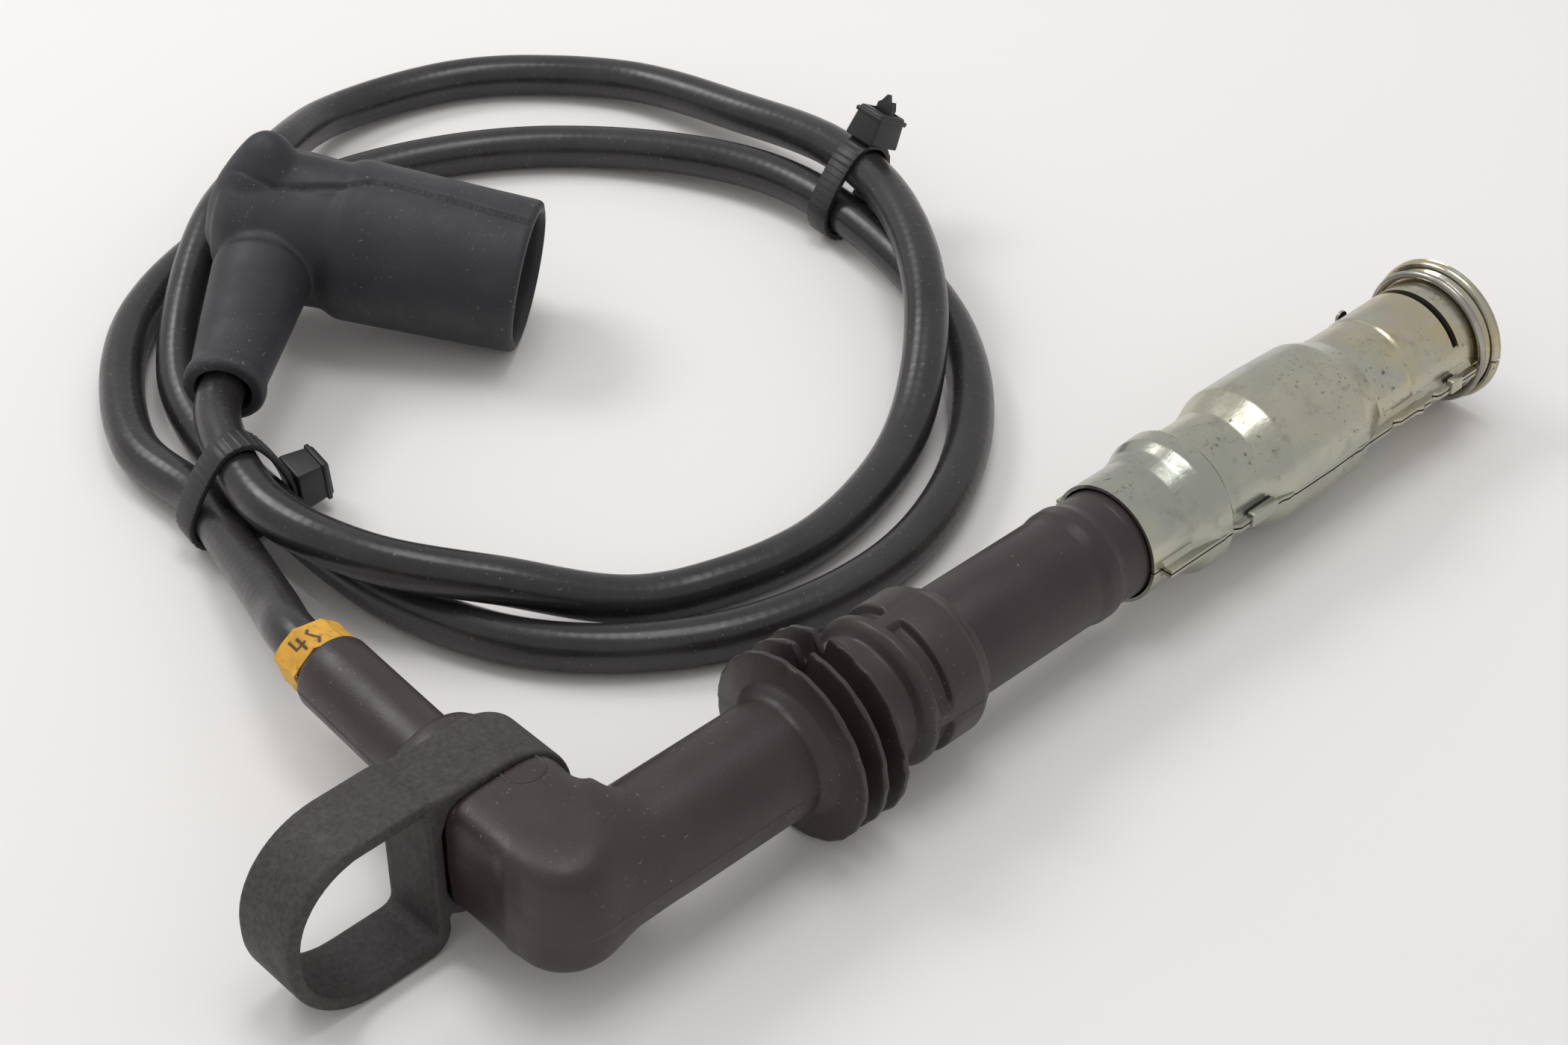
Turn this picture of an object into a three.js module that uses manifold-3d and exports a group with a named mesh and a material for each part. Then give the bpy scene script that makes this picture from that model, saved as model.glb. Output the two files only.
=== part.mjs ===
// Spark plug wire: a shielded right-angle plug connector, a black ignition cable laid in two turns
// and held by two cable ties, and a coil boot on its far end.
// Millimetres, +Z up. The plug connector lies along +X on its sealing fins and its shield's rim, the
// cable leaves it along +Y, and the coil boot lies on its mouth's rim beyond the cable's turns.
import * as THREE from "three";
import { mergeVertices } from "three/addons/utils/BufferGeometryUtils.js";
import Module from "manifold-3d";

const wasm = await Module();
wasm.setup();

// Fits
const gap = 0.3; // between two pieces that touch
const sheetGap = 0.15; // each shield half's distance from the seam plane
const roundSides = 32;
const fineSides = 24;

// Ignition cable
const cableRadius = 3.5;
const cableSides = 10;
const cableSteps = 80;
// The cable's centre line from the plug connector's sleeve to the coil boot's lip, laid by hand.
const cableRoute = [
  [-30.4, 70, 12], [-24.4, 88, 7.5], [-20, 104, 5], [-18.9, 122.6, 4], [-1.4, 148.2, 3.5],
  [25.4, 159.4, 3.5], [53.5, 157.4, 3.5], [81.5, 141, 3.5], [99, 111, 5], [99.5, 84.5, 5],
  [90.5, 56.5, 3.5], [70, 35, 3.5], [44.5, 25.5, 3.5], [17.5, 30, 3.5], [-3, 46.5, 3.5],
  [-12, 68.5, 3.5], [-12.5, 102, 5], [-10, 116.5, 3.5], [-5, 130.5, 4.5], [7, 144.5, 8],
  [21, 155.5, 11], [38, 164.6, 9.5], [58.3, 174.8, 4.5], [83.2, 169.5, 3.5], [102.2, 149.6, 4],
  [107.5, 124.5, 6.5], [107, 100, 10.5], [99, 77.5, 12.5], [85.5, 58.5, 10], [65, 43.4, 4],
  [38.6, 36.5, 3.5], [13.6, 43.4, 4], [-3, 55.9, 9.5], [-15, 69.5, 12.5], [-19, 86, 13],
  [-15, 102.5, 12.5],
];

// Plug connector, measured along its own axis from the first sealing fin
const finCount = 3;
const finPitch = 3.7;
const finThickness = 1.2;
const finRadius = 13.9;
const finBevel = 0.2;
const upperTubeRadius = 8.4;
const neckRadius = 9.1;
// The collar's outside from its slope to the boot's end, as [station, radius]: a band, a groove,
// a wider band and the end lip.
const collarOutline = [
  [14.1, 9.1], [15, 10.3], [15.8, 11], [17, 11], [17.4, 9.7], [19.4, 9.7], [19.8, 11], [25.4, 11],
  [26.4, 10.5], [26.9, 9.7], [28.3, 9.4],
];
const insulatorNeckRadius = 6.2;
const insulatorRadius = 8.4;
const insulatorShieldRadius = 8.2;
const insulatorStep = 56.5;
const insulatorStepLength = 0.8;
const insulatorEnd = 111.5;
const boreRadius = 3.6;
const plugBoreDepth = 27.5;
const plugBoreRadius = 6.8;

// Right-angle block and sleeve
const blockEndX = -45;
const blockHalfHeight = 9.8;
const blockDrop = 8.7; // its underside below the sleeve's axis
const blockFront = 8.3;
const blockFreeEndX = -26;
const blockPlanRadii = [8, 3, 0.5, 0.5]; // seen from above, anticlockwise from the free front corner
const blockFaceRadii = [6, 1, 9, 1.5]; // seen from the cable's side, from the free lower corner
const sleeveX = -37.25;
const sleeveYaw = 3.4; // degrees, towards +X
const sleeveRadius = 5.7;
const sleeveLength = 52;
const bossRadius = 8.3; // under the strap
const bossStart = 2;
const bossFlatRadius = 4; // its two corners beside the finger loop
const bossCentreX = -35.3;
const shoulderRadius = 8.9; // behind the strap
const shoulderEnd = 29;
const shoulderBevel = 2.4;
const cableEndInElbow = 6; // from the connector's axis along the sleeve

// Pull strap
const strapFront = 13.7;
const strapWidth = 10.4;
const strapWall = 2.1;
const loopEndX = -69.5;
const loopTop = 26.8;
const loopEndRadius = 12.5;
const loopWebWall = 2;
const loopWebRadii = [1.5, 2, 1]; // outside, inside below and inside above

// Marker band
const bandStart = 0.4; // beyond the sleeve's mouth
const bandWidth = 5;
const bandWall = 0.6;
const bandLooseness = 0.8;
const boreClearance = 0.6; // round the cable in the sleeve and in the coil boot

// Sheet-metal shield, its outside as [station, radius]
const sheet = 0.5;
const shieldOutline = [
  [61.3, 9.1], [69, 9.1], [71.5, 9.7], [73.5, 10.6], [76.4, 10.7], [77.6, 9.35], [85.3, 9.35],
  [87.5, 10.2], [90, 11.1], [98, 11.1], [107, 10.8], [111.5, 9.1], [119, 9.05], [119.6, 8.9],
  [120.2, 9.2], [129.5, 9.3], [134.8, 9.3], [136.4, 9.8], [138.2, 11.4],
];
const flangeReach = 10.8;
const flangeStart = 63;
const flangeEnd = 133;
const tabStations = [[80, 86], [126.4, 129.4]];
const tabLeaf = 1.9;
const slitStation = 130.5;
const slitWidth = 0.8;
const slitHalfAngle = 62;
const ringWireRadius = 0.6;
const ringStation = 135;
const ringSides = 8;

// Conductor pieces on the connector's axis
const terminalRadius = 3;
const terminalPostRadius = 2.9;
const terminalReach = 7; // past the sleeve's axis, towards the insulator
const capRadius = 3.3;
const capWall = 0.4;
const capLength = 7;
const resistorRadius = 2.5;
const resistorLength = 58;
const springRadius = 2.6;
const springWire = 0.5;
const springTurns = 6;
const springSides = 6;
const springSteps = 12; // in each turn
const clipFlange = 1.4;
const clipRadius = 4;
const clipBore = 3.25;
const clipLength = 12;
const clipSlotWidth = 0.8;
const clipSlotStart = 3; // beyond the flange

// Coil boot
const barrelLength = 40.3; // mouth to the corner
const barrelYaw = -52.8;
const barrelPitch = 8.2; // the mouth is lower
const barrelMouthRadius = 12;
const barrelRadius = 12.5;
const barrelBore = 9.6;
const barrelBoreDepth = 34;
const cornerAt = [20.8, 137.7];
// The closed corner's outside from its end to the barrel, as [distance past the corner, radius].
const cornerOutline = [
  [-9.4, 5], [-8.7, 8.2], [-6.5, 10.4], [-2, 11.9], [4, 12.2], [7, 12.5],
];
const humpOffset = -2.3;
const humpOutline = [[0, 4.6], [13.4, 3.3], [15.4, 2.6], [16.4, 1]]; // [height, radius]
const legYaw = -140.2;
const legPitch = 7.8;
const legLength = 37.1;
const legRootRadius = 7.7;
const legShoulder = 11;
const legStep = 1.2;
const legRadius = 7.2;
const legEndRadius = 5.9;
const lipRadius = 6.2;
const lipWidth = 2.4;
const lipBevel = 0.4;
const cableInLeg = 27;

// Coil terminal
const socketRadius = 4.2;
const socketWall = 0.5;
const socketLength = 22;
const socketFloor = 6.6; // the floor of its open end, beyond the corner
const crimpRadius = 4.6;
const crimpLength = 9;

// Cable ties
const tieWidth = 4.5;
const tieThickness = 0.9;
const tieLooseness = 0.45;
const tieHead = [6.6, 5.2, 5.6]; // along the strap, out from the cables, along the cables
const tieStub = [1.2, 1.4, tieWidth]; // along the strap, out of the head, along the cables
const tieStubInset = 1.6;
const tieHeadSeat = 0.15; // between the head and the cables' side of the band
const tieSides = 40;
const ties = [
  { name: "cable_tie_1", at: [-17, 98.5, 5], yaw: -99, headAngle: 4, bundle: 13, slack: [0, 0.3] },
  { name: "cable_tie_2", at: [102, 93.5, 5], yaw: -93, headAngle: 60, bundle: 13, slack: [0, 0.3] },
];

const degrees = (angle) => THREE.MathUtils.degToRad(angle);

// Materials, one finish per kind of piece
const finish = (color, roughness, metalness) => () =>
  new THREE.MeshStandardMaterial({ color, roughness, metalness });
const cableJacket = finish(0x242224, 0.45, 0);
const brownRubber = finish(0x3c3436, 0.7, 0);
const greyRubber = finish(0x444244, 0.65, 0);
const strapRubber = finish(0x484b49, 0.85, 0);
const yellowTape = finish(0xe1aa37, 0.6, 0);
const insulatorPlastic = finish(0x2a2426, 0.4, 0);
const tiePlastic = finish(0x2b2a2a, 0.5, 0);
const zincSheet = finish(0x8f9086, 0.4, 0.8);
const springSteel = finish(0xb5b2ac, 0.3, 1);
const brass = finish(0xb08d4f, 0.35, 1);
const ceramic = finish(0xd8d2c4, 0.5, 0);

// A closed geometry as a solid that can be joined and cut.
function solid(geometry) {
  const shape = geometry.index ? geometry.toNonIndexed() : geometry.clone();
  shape.deleteAttribute("normal");
  shape.deleteAttribute("uv");
  const merged = mergeVertices(shape, 1e-4);
  return new wasm.Manifold(
    new wasm.Mesh({
      numProp: 3,
      vertProperties: merged.attributes.position.array,
      triVerts: new Uint32Array(merged.index.array),
    }),
  );
}

function meshOf(name, body, material) {
  const data = body.getMesh();
  const geometry = new THREE.BufferGeometry();
  geometry.setAttribute("position", new THREE.BufferAttribute(data.vertProperties, 3));
  geometry.setIndex(new THREE.BufferAttribute(data.triVerts, 1));
  geometry.computeVertexNormals();
  const mesh = new THREE.Mesh(geometry, material());
  mesh.name = name;
  return mesh;
}

const joined = (bodies) => bodies.reduce((all, body) => all.add(body));

// A body turned about +X from [station, radius] points that run counterclockwise with radius to the
// right and station up; an open outline is closed through the axis.
function turned(outline, sides = roundSides) {
  const points = outline.map(([station, radius]) => new THREE.Vector2(radius, station));
  const geometry = new THREE.LatheGeometry(points, sides);
  return solid(geometry.rotateZ(-Math.PI / 2));
}

// A solid of revolution whose outside follows the outline from its first to its last station.
const turnedSolid = (outline, sides) =>
  turned([[outline[0][0], 0], ...outline, [outline.at(-1)[0], 0]], sides);

const rod = (from, to, radius, sides) =>
  turnedSolid([[from, radius], [to, radius]], sides);

const tube = (from, to, radius, inner, sides) =>
  turned([[from, inner], [from, radius], [to, radius], [to, inner], [from, inner]], sides);

function box(min, max) {
  const size = max.map((value, i) => value - min[i]);
  const centre = max.map((value, i) => (value + min[i]) / 2);
  return solid(new THREE.BoxGeometry(...size).translate(...centre));
}

// A flat outline with holes, carried along +Z from z = 0.
function plate(outline, holes, depth) {
  outline.holes = holes;
  return solid(
    new THREE.ExtrudeGeometry(outline, { depth, bevelEnabled: false, curveSegments: 10 }),
  );
}

// A rectangle whose corners are rounded by their own radii, anticlockwise from the lower left.
function roundedRect(path, x0, y0, x1, y1, [r0, r1, r2, r3]) {
  path.moveTo(x0 + r0, y0);
  path.lineTo(x1 - r1, y0);
  path.absarc(x1 - r1, y0 + r1, r1, -Math.PI / 2, 0, false);
  path.lineTo(x1, y1 - r2);
  path.absarc(x1 - r2, y1 - r2, r2, 0, Math.PI / 2, false);
  path.lineTo(x0 + r3, y1);
  path.absarc(x0 + r3, y1 - r3, r3, Math.PI / 2, Math.PI, false);
  path.lineTo(x0, y0 + r0);
  path.absarc(x0 + r0, y0 + r0, r0, Math.PI, 1.5 * Math.PI, false);
  return path;
}

// Where things lie
const blockBack = strapFront - gap;
const rubberEnd = collarOutline.at(-1)[0];
const plugBoreStart = insulatorEnd - plugBoreDepth;
const lastFin = (finCount - 1) * finPitch + finThickness;
const rimStation = shieldOutline.at(-1)[0];
const rimRadius = shieldOutline.at(-1)[1];
const connectorTilt = Math.asin((finRadius - rimRadius) / (rimStation - lastFin));
const connectorHeight = lastFin * Math.sin(connectorTilt) + finRadius * Math.cos(connectorTilt);
const connectorPlace = new THREE.Matrix4()
  .makeRotationY(connectorTilt)
  .setPosition(0, 0, connectorHeight);
const elbowHeight = connectorHeight - sleeveX * Math.sin(connectorTilt);
const sleeveDirection = new THREE.Vector3(
  Math.sin(degrees(sleeveYaw)),
  Math.cos(degrees(sleeveYaw)),
  0,
);
const sleevePlace = new THREE.Matrix4()
  .makeRotationZ(Math.PI / 2 - degrees(sleeveYaw))
  .setPosition(sleeveX, 0, elbowHeight);

// A frame whose +X points along a yaw and a downward pitch.
function aimed(yaw, pitch, position) {
  const turn = new THREE.Euler(0, degrees(pitch), degrees(yaw), "ZYX");
  return new THREE.Matrix4().makeRotationFromEuler(turn).setPosition(position);
}
const mouthHeight = barrelMouthRadius * Math.cos(degrees(barrelPitch));
const corner = new THREE.Vector3(
  ...cornerAt,
  mouthHeight + barrelLength * Math.sin(degrees(barrelPitch)),
);
const barrelPlace = aimed(barrelYaw, barrelPitch, corner);
const legPlace = aimed(legYaw, legPitch, corner);

const placed = (body, matrix) => body.transform([...matrix.elements]);

// The cable's centre line: straight in the sleeve and in the coil boot's leg, laid by hand between,
// and never lower than its own radius above the ground.
const onSleeve = (distance) =>
  new THREE.Vector3(distance, 0, 0).applyMatrix4(sleevePlace);
const onLeg = (distance) => new THREE.Vector3(distance, 0, 0).applyMatrix4(legPlace);
const centreLine = new THREE.CatmullRomCurve3([
  onSleeve(cableEndInElbow),
  onSleeve(sleeveLength * 0.8),
  onSleeve(sleeveLength + bandStart + bandWidth + cableRadius),
  ...cableRoute.map((point) => new THREE.Vector3(...point)),
  onLeg(legLength + cableRadius),
  onLeg(legLength * 0.8),
  onLeg(legLength - cableInLeg),
]);
class LaidCurve extends THREE.Curve {
  getPoint(t, target = new THREE.Vector3()) {
    centreLine.getPoint(t, target);
    target.z = Math.max(target.z, cableRadius);
    return target;
  }
}
const laidCable = new LaidCurve();
laidCable.arcLengthDivisions = 1000;

function circle(radius, sides) {
  const shape = new THREE.Shape();
  for (let i = 0; i < sides; i++) {
    const angle = (2 * Math.PI * i) / sides;
    shape[i ? "lineTo" : "moveTo"](radius * Math.cos(angle), radius * Math.sin(angle));
  }
  return shape;
}

function ignitionCable() {
  const geometry = new THREE.ExtrudeGeometry(circle(cableRadius, cableSides), {
    steps: cableSteps,
    extrudePath: laidCable,
  });
  return solid(geometry);
}

// The rubber round the connector's axis: tube, sealing fins, neck, grooved collar and end lip.
function rubberAlongAxis() {
  const outline = [[sleeveX, upperTubeRadius]];
  for (let i = 0; i < finCount; i++) {
    const start = i * finPitch;
    const root = i ? neckRadius : upperTubeRadius;
    const end = start + finThickness;
    outline.push([start, root], [start + finBevel, finRadius - finBevel]);
    outline.push([start + 2 * finBevel, finRadius], [end - finBevel, finRadius], [end, neckRadius]);
  }
  return turnedSolid([...outline, ...collarOutline]);
}

// The block at the corner: a bull-nosed bar along X, rounded in plan at its free corner.
function cornerBlock() {
  const low = elbowHeight - blockHalfHeight;
  const high = elbowHeight + blockHalfHeight;
  const section = new THREE.Shape();
  section.moveTo(blockBack, low);
  section.lineTo(blockBack, high);
  section.lineTo(0, high);
  section.absellipse(0, elbowHeight, blockFront, blockHalfHeight, Math.PI / 2, 1.5 * Math.PI, false);
  const bar = solid(
    new THREE.ExtrudeGeometry(section, { depth: blockFreeEndX - blockEndX, bevelEnabled: false })
      .applyMatrix4(new THREE.Matrix4().set(0, 0, 1, blockEndX, 1, 0, 0, 0, 0, 1, 0, 0, 0, 0, 0, 1)),
  );
  const plan = roundedRect(
    new THREE.Shape(), blockEndX, -blockFront, blockFreeEndX, blockBack, blockPlanRadii,
  );
  const face = roundedRect(
    new THREE.Shape(), blockEndX, elbowHeight - blockDrop, blockFreeEndX, high, blockFaceRadii,
  );
  return bar
    .intersect(plate(plan, [], high + 1))
    .intersect(alongY(face, [], -blockFront, blockFront + blockBack));
}

// The boss that the strap is wrapped round: flat towards the finger loop, round on its other side.
const bossSection = (path, offset) =>
  roundedRect(
    path,
    blockEndX - offset, elbowHeight - bossRadius - offset,
    bossCentreX + bossRadius + offset, elbowHeight + bossRadius + offset,
    [bossFlatRadius, bossRadius, bossRadius, bossFlatRadius].map((radius) => radius + offset),
  );

// Carries an XZ outline along +Y from y = start.
const alongY = (outline, holes, start, depth) =>
  plate(outline, holes, depth)
    .rotate([90, 0, 0])
    .translate([0, start + depth, 0]);

function elbowBoot() {
  const strapBack = strapFront + strapWidth + gap;
  const boss = alongY(bossSection(new THREE.Shape(), 0), [], bossStart, strapBack - bossStart);
  const shoulder = placed(
    turnedSolid([
      [strapFront, shoulderRadius],
      [shoulderEnd - shoulderBevel, shoulderRadius],
      [shoulderEnd, shoulderRadius - shoulderBevel],
    ]),
    sleevePlace,
  );
  const sleeve = placed(rod(0, sleeveLength, sleeveRadius), sleevePlace);
  const behindStrap = box(
    [blockEndX, strapBack, elbowHeight - shoulderRadius],
    [sleeveX + 2 * shoulderRadius, shoulderEnd + 1, elbowHeight + shoulderRadius],
  );
  const axisBody = placed(rubberAlongAxis(), connectorPlace);
  const outside = joined([
    axisBody, cornerBlock(), boss, shoulder.intersect(behindStrap), sleeve,
  ]);
  const neckBore = placed(
    rod(blockFreeEndX - gap, rubberEnd + 1, insulatorNeckRadius + gap),
    connectorPlace,
  );
  const terminalBore = placed(
    rod(sleeveX - terminalRadius - gap, blockFreeEndX, boreRadius),
    connectorPlace,
  );
  const cableBore = placed(
    rod(0, sleeveLength + 1, cableRadius + boreClearance),
    sleevePlace,
  );
  return outside.subtract(neckBore).subtract(terminalBore).subtract(cableBore);
}

// One rubber band bent into a figure of eight: a ring round the boss and a loop for a finger.
function pullStrap() {
  const ring = bossSection(new THREE.Shape(), gap + strapWall);
  const loopRight = blockEndX - gap;
  const loop = roundedRect(
    new THREE.Shape(), loopEndX, 0, loopRight, loopTop,
    [loopEndRadius, loopWebRadii[0], loopWebRadii[0], loopEndRadius],
  );
  const bands = alongY(ring, [], strapFront, strapWidth).add(
    alongY(loop, [], strapFront, strapWidth),
  );
  const ringHole = alongY(bossSection(new THREE.Shape(), gap), [], strapFront - 1, strapWidth + 2);
  const loopHole = alongY(
    roundedRect(
      new THREE.Shape(),
      loopEndX + strapWall, strapWall, loopRight - loopWebWall, loopTop - strapWall,
      [loopEndRadius - strapWall, ...loopWebRadii.slice(1), loopEndRadius - strapWall],
    ),
    [], strapFront - 1, strapWidth + 2,
  );
  return bands.subtract(ringHole).subtract(loopHole);
}

function markerBand() {
  const inner = cableRadius + bandLooseness;
  const band = tube(0, bandWidth, inner + bandWall, inner, fineSides);
  return placed(
    band.translate([sleeveLength + bandStart, 0, 0]),
    sleevePlace,
  );
}

// The hard insulator: a neck in the rubber boot, a body and a stepped bore.
function connectorTube() {
  const neckStart = blockFreeEndX;
  return placed(
    turned([
      [neckStart, boreRadius],
      [neckStart, insulatorNeckRadius],
      [rubberEnd + gap, insulatorNeckRadius],
      [rubberEnd + gap, insulatorRadius],
      [insulatorStep, insulatorRadius],
      [insulatorStep + insulatorStepLength, insulatorShieldRadius],
      [insulatorEnd, insulatorShieldRadius],
      [insulatorEnd, plugBoreRadius],
      [plugBoreStart, plugBoreRadius],
      [plugBoreStart, boreRadius],
      [neckStart, boreRadius],
    ]),
    connectorPlace,
  );
}

// The shield's sheet, turned whole, and the room inside it.
const shieldInside = shieldOutline.map(([station, radius]) => [station, radius - sheet]);
const shieldShell = () =>
  turned([
    ...shieldOutline,
    ...shieldInside.slice().reverse(),
    shieldOutline[0],
  ]);
const shieldRoom = () => {
  const [first, last] = [shieldInside[0], shieldInside.at(-1)];
  return turnedSolid([[first[0] - 1, first[1]], ...shieldInside, [last[0] + 1, last[1]]]);
};

// One half of the shield with its two seam flanges; side is 1 for the upper and -1 for the lower.
function shieldHalf(side) {
  const far = rimRadius + 2;
  const span = [side > 0 ? sheetGap : -far, side > 0 ? far : -sheetGap];
  const keep = box([flangeStart - 5, -far, span[0]], [rimStation + 1, far, span[1]]);
  const leaf = [sheetGap, sheetGap + sheet].map((height) => side * height).sort((a, b) => a - b);
  const flanges = box(
    [flangeStart, -flangeReach, leaf[0]],
    [flangeEnd, flangeReach, leaf[1]],
  ).subtract(shieldRoom());
  return shieldShell().intersect(keep).add(flanges);
}

// The slit across the upper half, just behind the end band.
function slit() {
  const wedge = new THREE.Shape();
  wedge.moveTo(0, 0);
  for (const angle of [-slitHalfAngle, -slitHalfAngle / 2, 0, slitHalfAngle / 2, slitHalfAngle]) {
    const reach = (rimRadius + 2) / Math.cos(degrees(slitHalfAngle / 4));
    wedge.lineTo(-reach * Math.sin(degrees(angle)), reach * Math.cos(degrees(angle)));
  }
  return plate(wedge, [], slitWidth)
    .transform([...new THREE.Matrix4().set(0, 0, 1, 0, 1, 0, 0, 0, 0, 1, 0, 0, 0, 0, 0, 1).elements])
    .translate([slitStation - slitWidth / 2, 0, 0]);
}

const shieldUpperHalf = () =>
  placed(shieldHalf(1).subtract(slit()), connectorPlace);

// The lower half carries the tabs that are folded over the upper half's flange.
function shieldLowerHalf() {
  const top = sheetGap + sheet + gap;
  const outer = flangeReach + gap;
  const tabs = tabStations.flatMap(([start, end]) => [
    box([start, -outer - sheet, -sheetGap - sheet], [end, -outer, top + sheet]),
    box([start, -outer - sheet, -sheetGap - sheet], [end, -flangeReach + 0.5, -sheetGap]),
    box([start, -outer - sheet, top], [end, -outer - sheet + tabLeaf, top + sheet]),
  ]);
  return placed(joined([shieldHalf(-1), ...tabs]), connectorPlace);
}

function retainingRing() {
  const radiusAtRing = shieldOutline.at(-3)[1];
  const torus = new THREE.TorusGeometry(
    radiusAtRing + gap + ringWireRadius, ringWireRadius, ringSides, roundSides,
  );
  return placed(
    solid(torus.rotateY(Math.PI / 2)).translate([ringStation, 0, 0]),
    connectorPlace,
  );
}

// The brass terminal in the elbow: a body along the connector's axis with a post to the cable.
function cableTerminal() {
  const body = rod(sleeveX - terminalRadius, sleeveX + terminalReach, terminalRadius, fineSides);
  const post = rod(0, cableEndInElbow - gap, terminalPostRadius, fineSides);
  return placed(body, connectorPlace).add(placed(post, sleevePlace));
}

// Stations of the stacked conductor pieces, each a gap from the one before.
const firstCap = sleeveX + terminalReach + gap;
const rodStart = firstCap + capWall + gap;
const rodEnd = rodStart + resistorLength;
const secondCapEnd = rodEnd + gap + capWall;
const clipStart = plugBoreStart + gap;
const springStart = secondCapEnd + gap + springWire;
const springEnd = clipStart - gap - springWire;

// A brass cup on an end of the resistor; its closed end is at the station given.
function resistorCap(closed, open) {
  const wall = open > closed ? capWall : -capWall;
  const outline = [
    [closed, 0], [closed, capRadius], [open, capRadius], [open, capRadius - capWall],
    [closed + wall, capRadius - capWall], [closed + wall, 0],
  ];
  const ordered = open > closed ? outline : outline.slice().reverse();
  return placed(turned(ordered, fineSides), connectorPlace);
}

const suppressionResistor = () =>
  placed(rod(rodStart, rodEnd, resistorRadius, fineSides), connectorPlace);

class Helix extends THREE.Curve {
  getPoint(t, target = new THREE.Vector3()) {
    const angle = 2 * Math.PI * springTurns * t;
    const station = springStart + (springEnd - springStart) * t;
    return target.set(
      station,
      (springRadius - springWire) * Math.cos(angle),
      (springRadius - springWire) * Math.sin(angle),
    );
  }
}

const contactSpring = () =>
  placed(
    solid(
      new THREE.ExtrudeGeometry(circle(springWire, springSides), {
        steps: springTurns * springSteps,
        extrudePath: new Helix(),
      }),
    ),
    connectorPlace,
  );

// The clip that snaps on the spark plug: a flanged cup with a cross slot.
function plugClip() {
  const cup = turned([
    [clipStart, 0],
    [clipStart, plugBoreRadius - gap],
    [clipStart + clipFlange, plugBoreRadius - gap],
    [clipStart + clipFlange, clipRadius],
    [clipStart + clipLength, clipRadius],
    [clipStart + clipLength, clipBore],
    [clipStart + clipFlange, clipBore],
    [clipStart + clipFlange, 0],
  ]);
  const slotFrom = clipStart + clipFlange + clipSlotStart;
  const slotTo = clipStart + clipLength + 1;
  const side = clipRadius + 1;
  const cross = box([slotFrom, -side, -clipSlotWidth / 2], [slotTo, side, clipSlotWidth / 2]);
  return placed(cup.subtract(cross), connectorPlace);
}

// The coil boot: a barrel, a rounded closed corner with a hump, and a leg with a lip for the cable.
function coilBoot() {
  const barrel = turnedSolid([
    ...cornerOutline,
    [barrelLength / 2, barrelRadius],
    [barrelLength, barrelMouthRadius],
  ]);
  const hump = turnedSolid(humpOutline, fineSides)
    .rotate([0, -90, 0])
    .translate([humpOffset, 0, 0]);
  const leg = turnedSolid([
    [0, legRootRadius],
    [legShoulder, legRootRadius],
    [legShoulder + legStep, legRadius],
    [legLength - lipWidth - legStep, legEndRadius],
    [legLength - lipWidth, lipRadius - lipBevel],
    [legLength - lipWidth + lipBevel, lipRadius],
    [legLength - lipBevel, lipRadius],
    [legLength, lipRadius - lipBevel],
  ]);
  const bore = rod(barrelLength - barrelBoreDepth, barrelLength + 1, barrelBore);
  const socketRoom = rod(-crimpRadius - gap, barrelLength, socketRadius + gap);
  const legBore = rod(crimpRadius + crimpLength, legLength + 1, cableRadius + boreClearance);
  const crimpRoom = rod(0, legLength - cableInLeg + crimpLength, crimpRadius + gap);
  return placed(barrel.add(hump), barrelPlace)
    .add(placed(leg, legPlace))
    .subtract(placed(bore.add(socketRoom), barrelPlace))
    .subtract(placed(legBore.add(crimpRoom), legPlace));
}

// The coil terminal: a socket in the barrel and a crimp round the cable's end in the leg.
function coilTerminal() {
  const socket = turned([
    [-crimpRadius, 0],
    [-crimpRadius, socketRadius],
    [socketLength, socketRadius],
    [socketLength, socketRadius - socketWall],
    [socketFloor, socketRadius - socketWall],
    [socketFloor, 0],
  ]);
  const cableFace = legLength - cableInLeg - gap;
  const crimpEnd = legLength - cableInLeg + crimpLength - gap;
  const crimp = rod(0, cableFace, crimpRadius).add(
    tube(cableFace - 1, crimpEnd, crimpRadius, cableRadius + gap),
  );
  return placed(socket, barrelPlace).add(placed(crimp, legPlace));
}

// Where the cable passes through a tie's plane, in the tie's own frame: X across, Y up, Z along it.
function bundleIn(tie, place) {
  const inverse = place.clone().invert();
  const found = [];
  const samples = 2 * laidCable.arcLengthDivisions;
  let before = laidCable.getPoint(0).applyMatrix4(inverse);
  for (let i = 1; i <= samples; i++) {
    const point = laidCable.getPoint(i / samples).applyMatrix4(inverse);
    const near = Math.hypot(point.x, point.y) < tie.bundle;
    if (near && before.z * point.z <= 0) found.push(point);
    before = point;
  }
  return found.sort((a, b) => a.y - b.y);
}

// The line that a band takes round the cables: in each direction, the point furthest out.
function bandOutline(cables, tie, outwards) {
  const outline = new THREE.Path();
  for (let i = 0; i < tieSides; i++) {
    const angle = (2 * Math.PI * i) / tieSides;
    const direction = new THREE.Vector2(Math.cos(angle), Math.sin(angle));
    const reach = (cable, k) => {
      const slack = k === cables.length - 1 ? tie.slack[1] : tie.slack[0];
      return cableRadius + tieLooseness + slack + outwards;
    };
    const points = cables.map((cable, k) =>
      new THREE.Vector2(cable.x, cable.y).addScaledVector(direction, reach(cable, k)),
    );
    const far = points.reduce((a, b) => (b.dot(direction) > a.dot(direction) ? b : a));
    outline[i ? "lineTo" : "moveTo"](far.x, far.y);
  }
  return outline;
}

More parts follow.
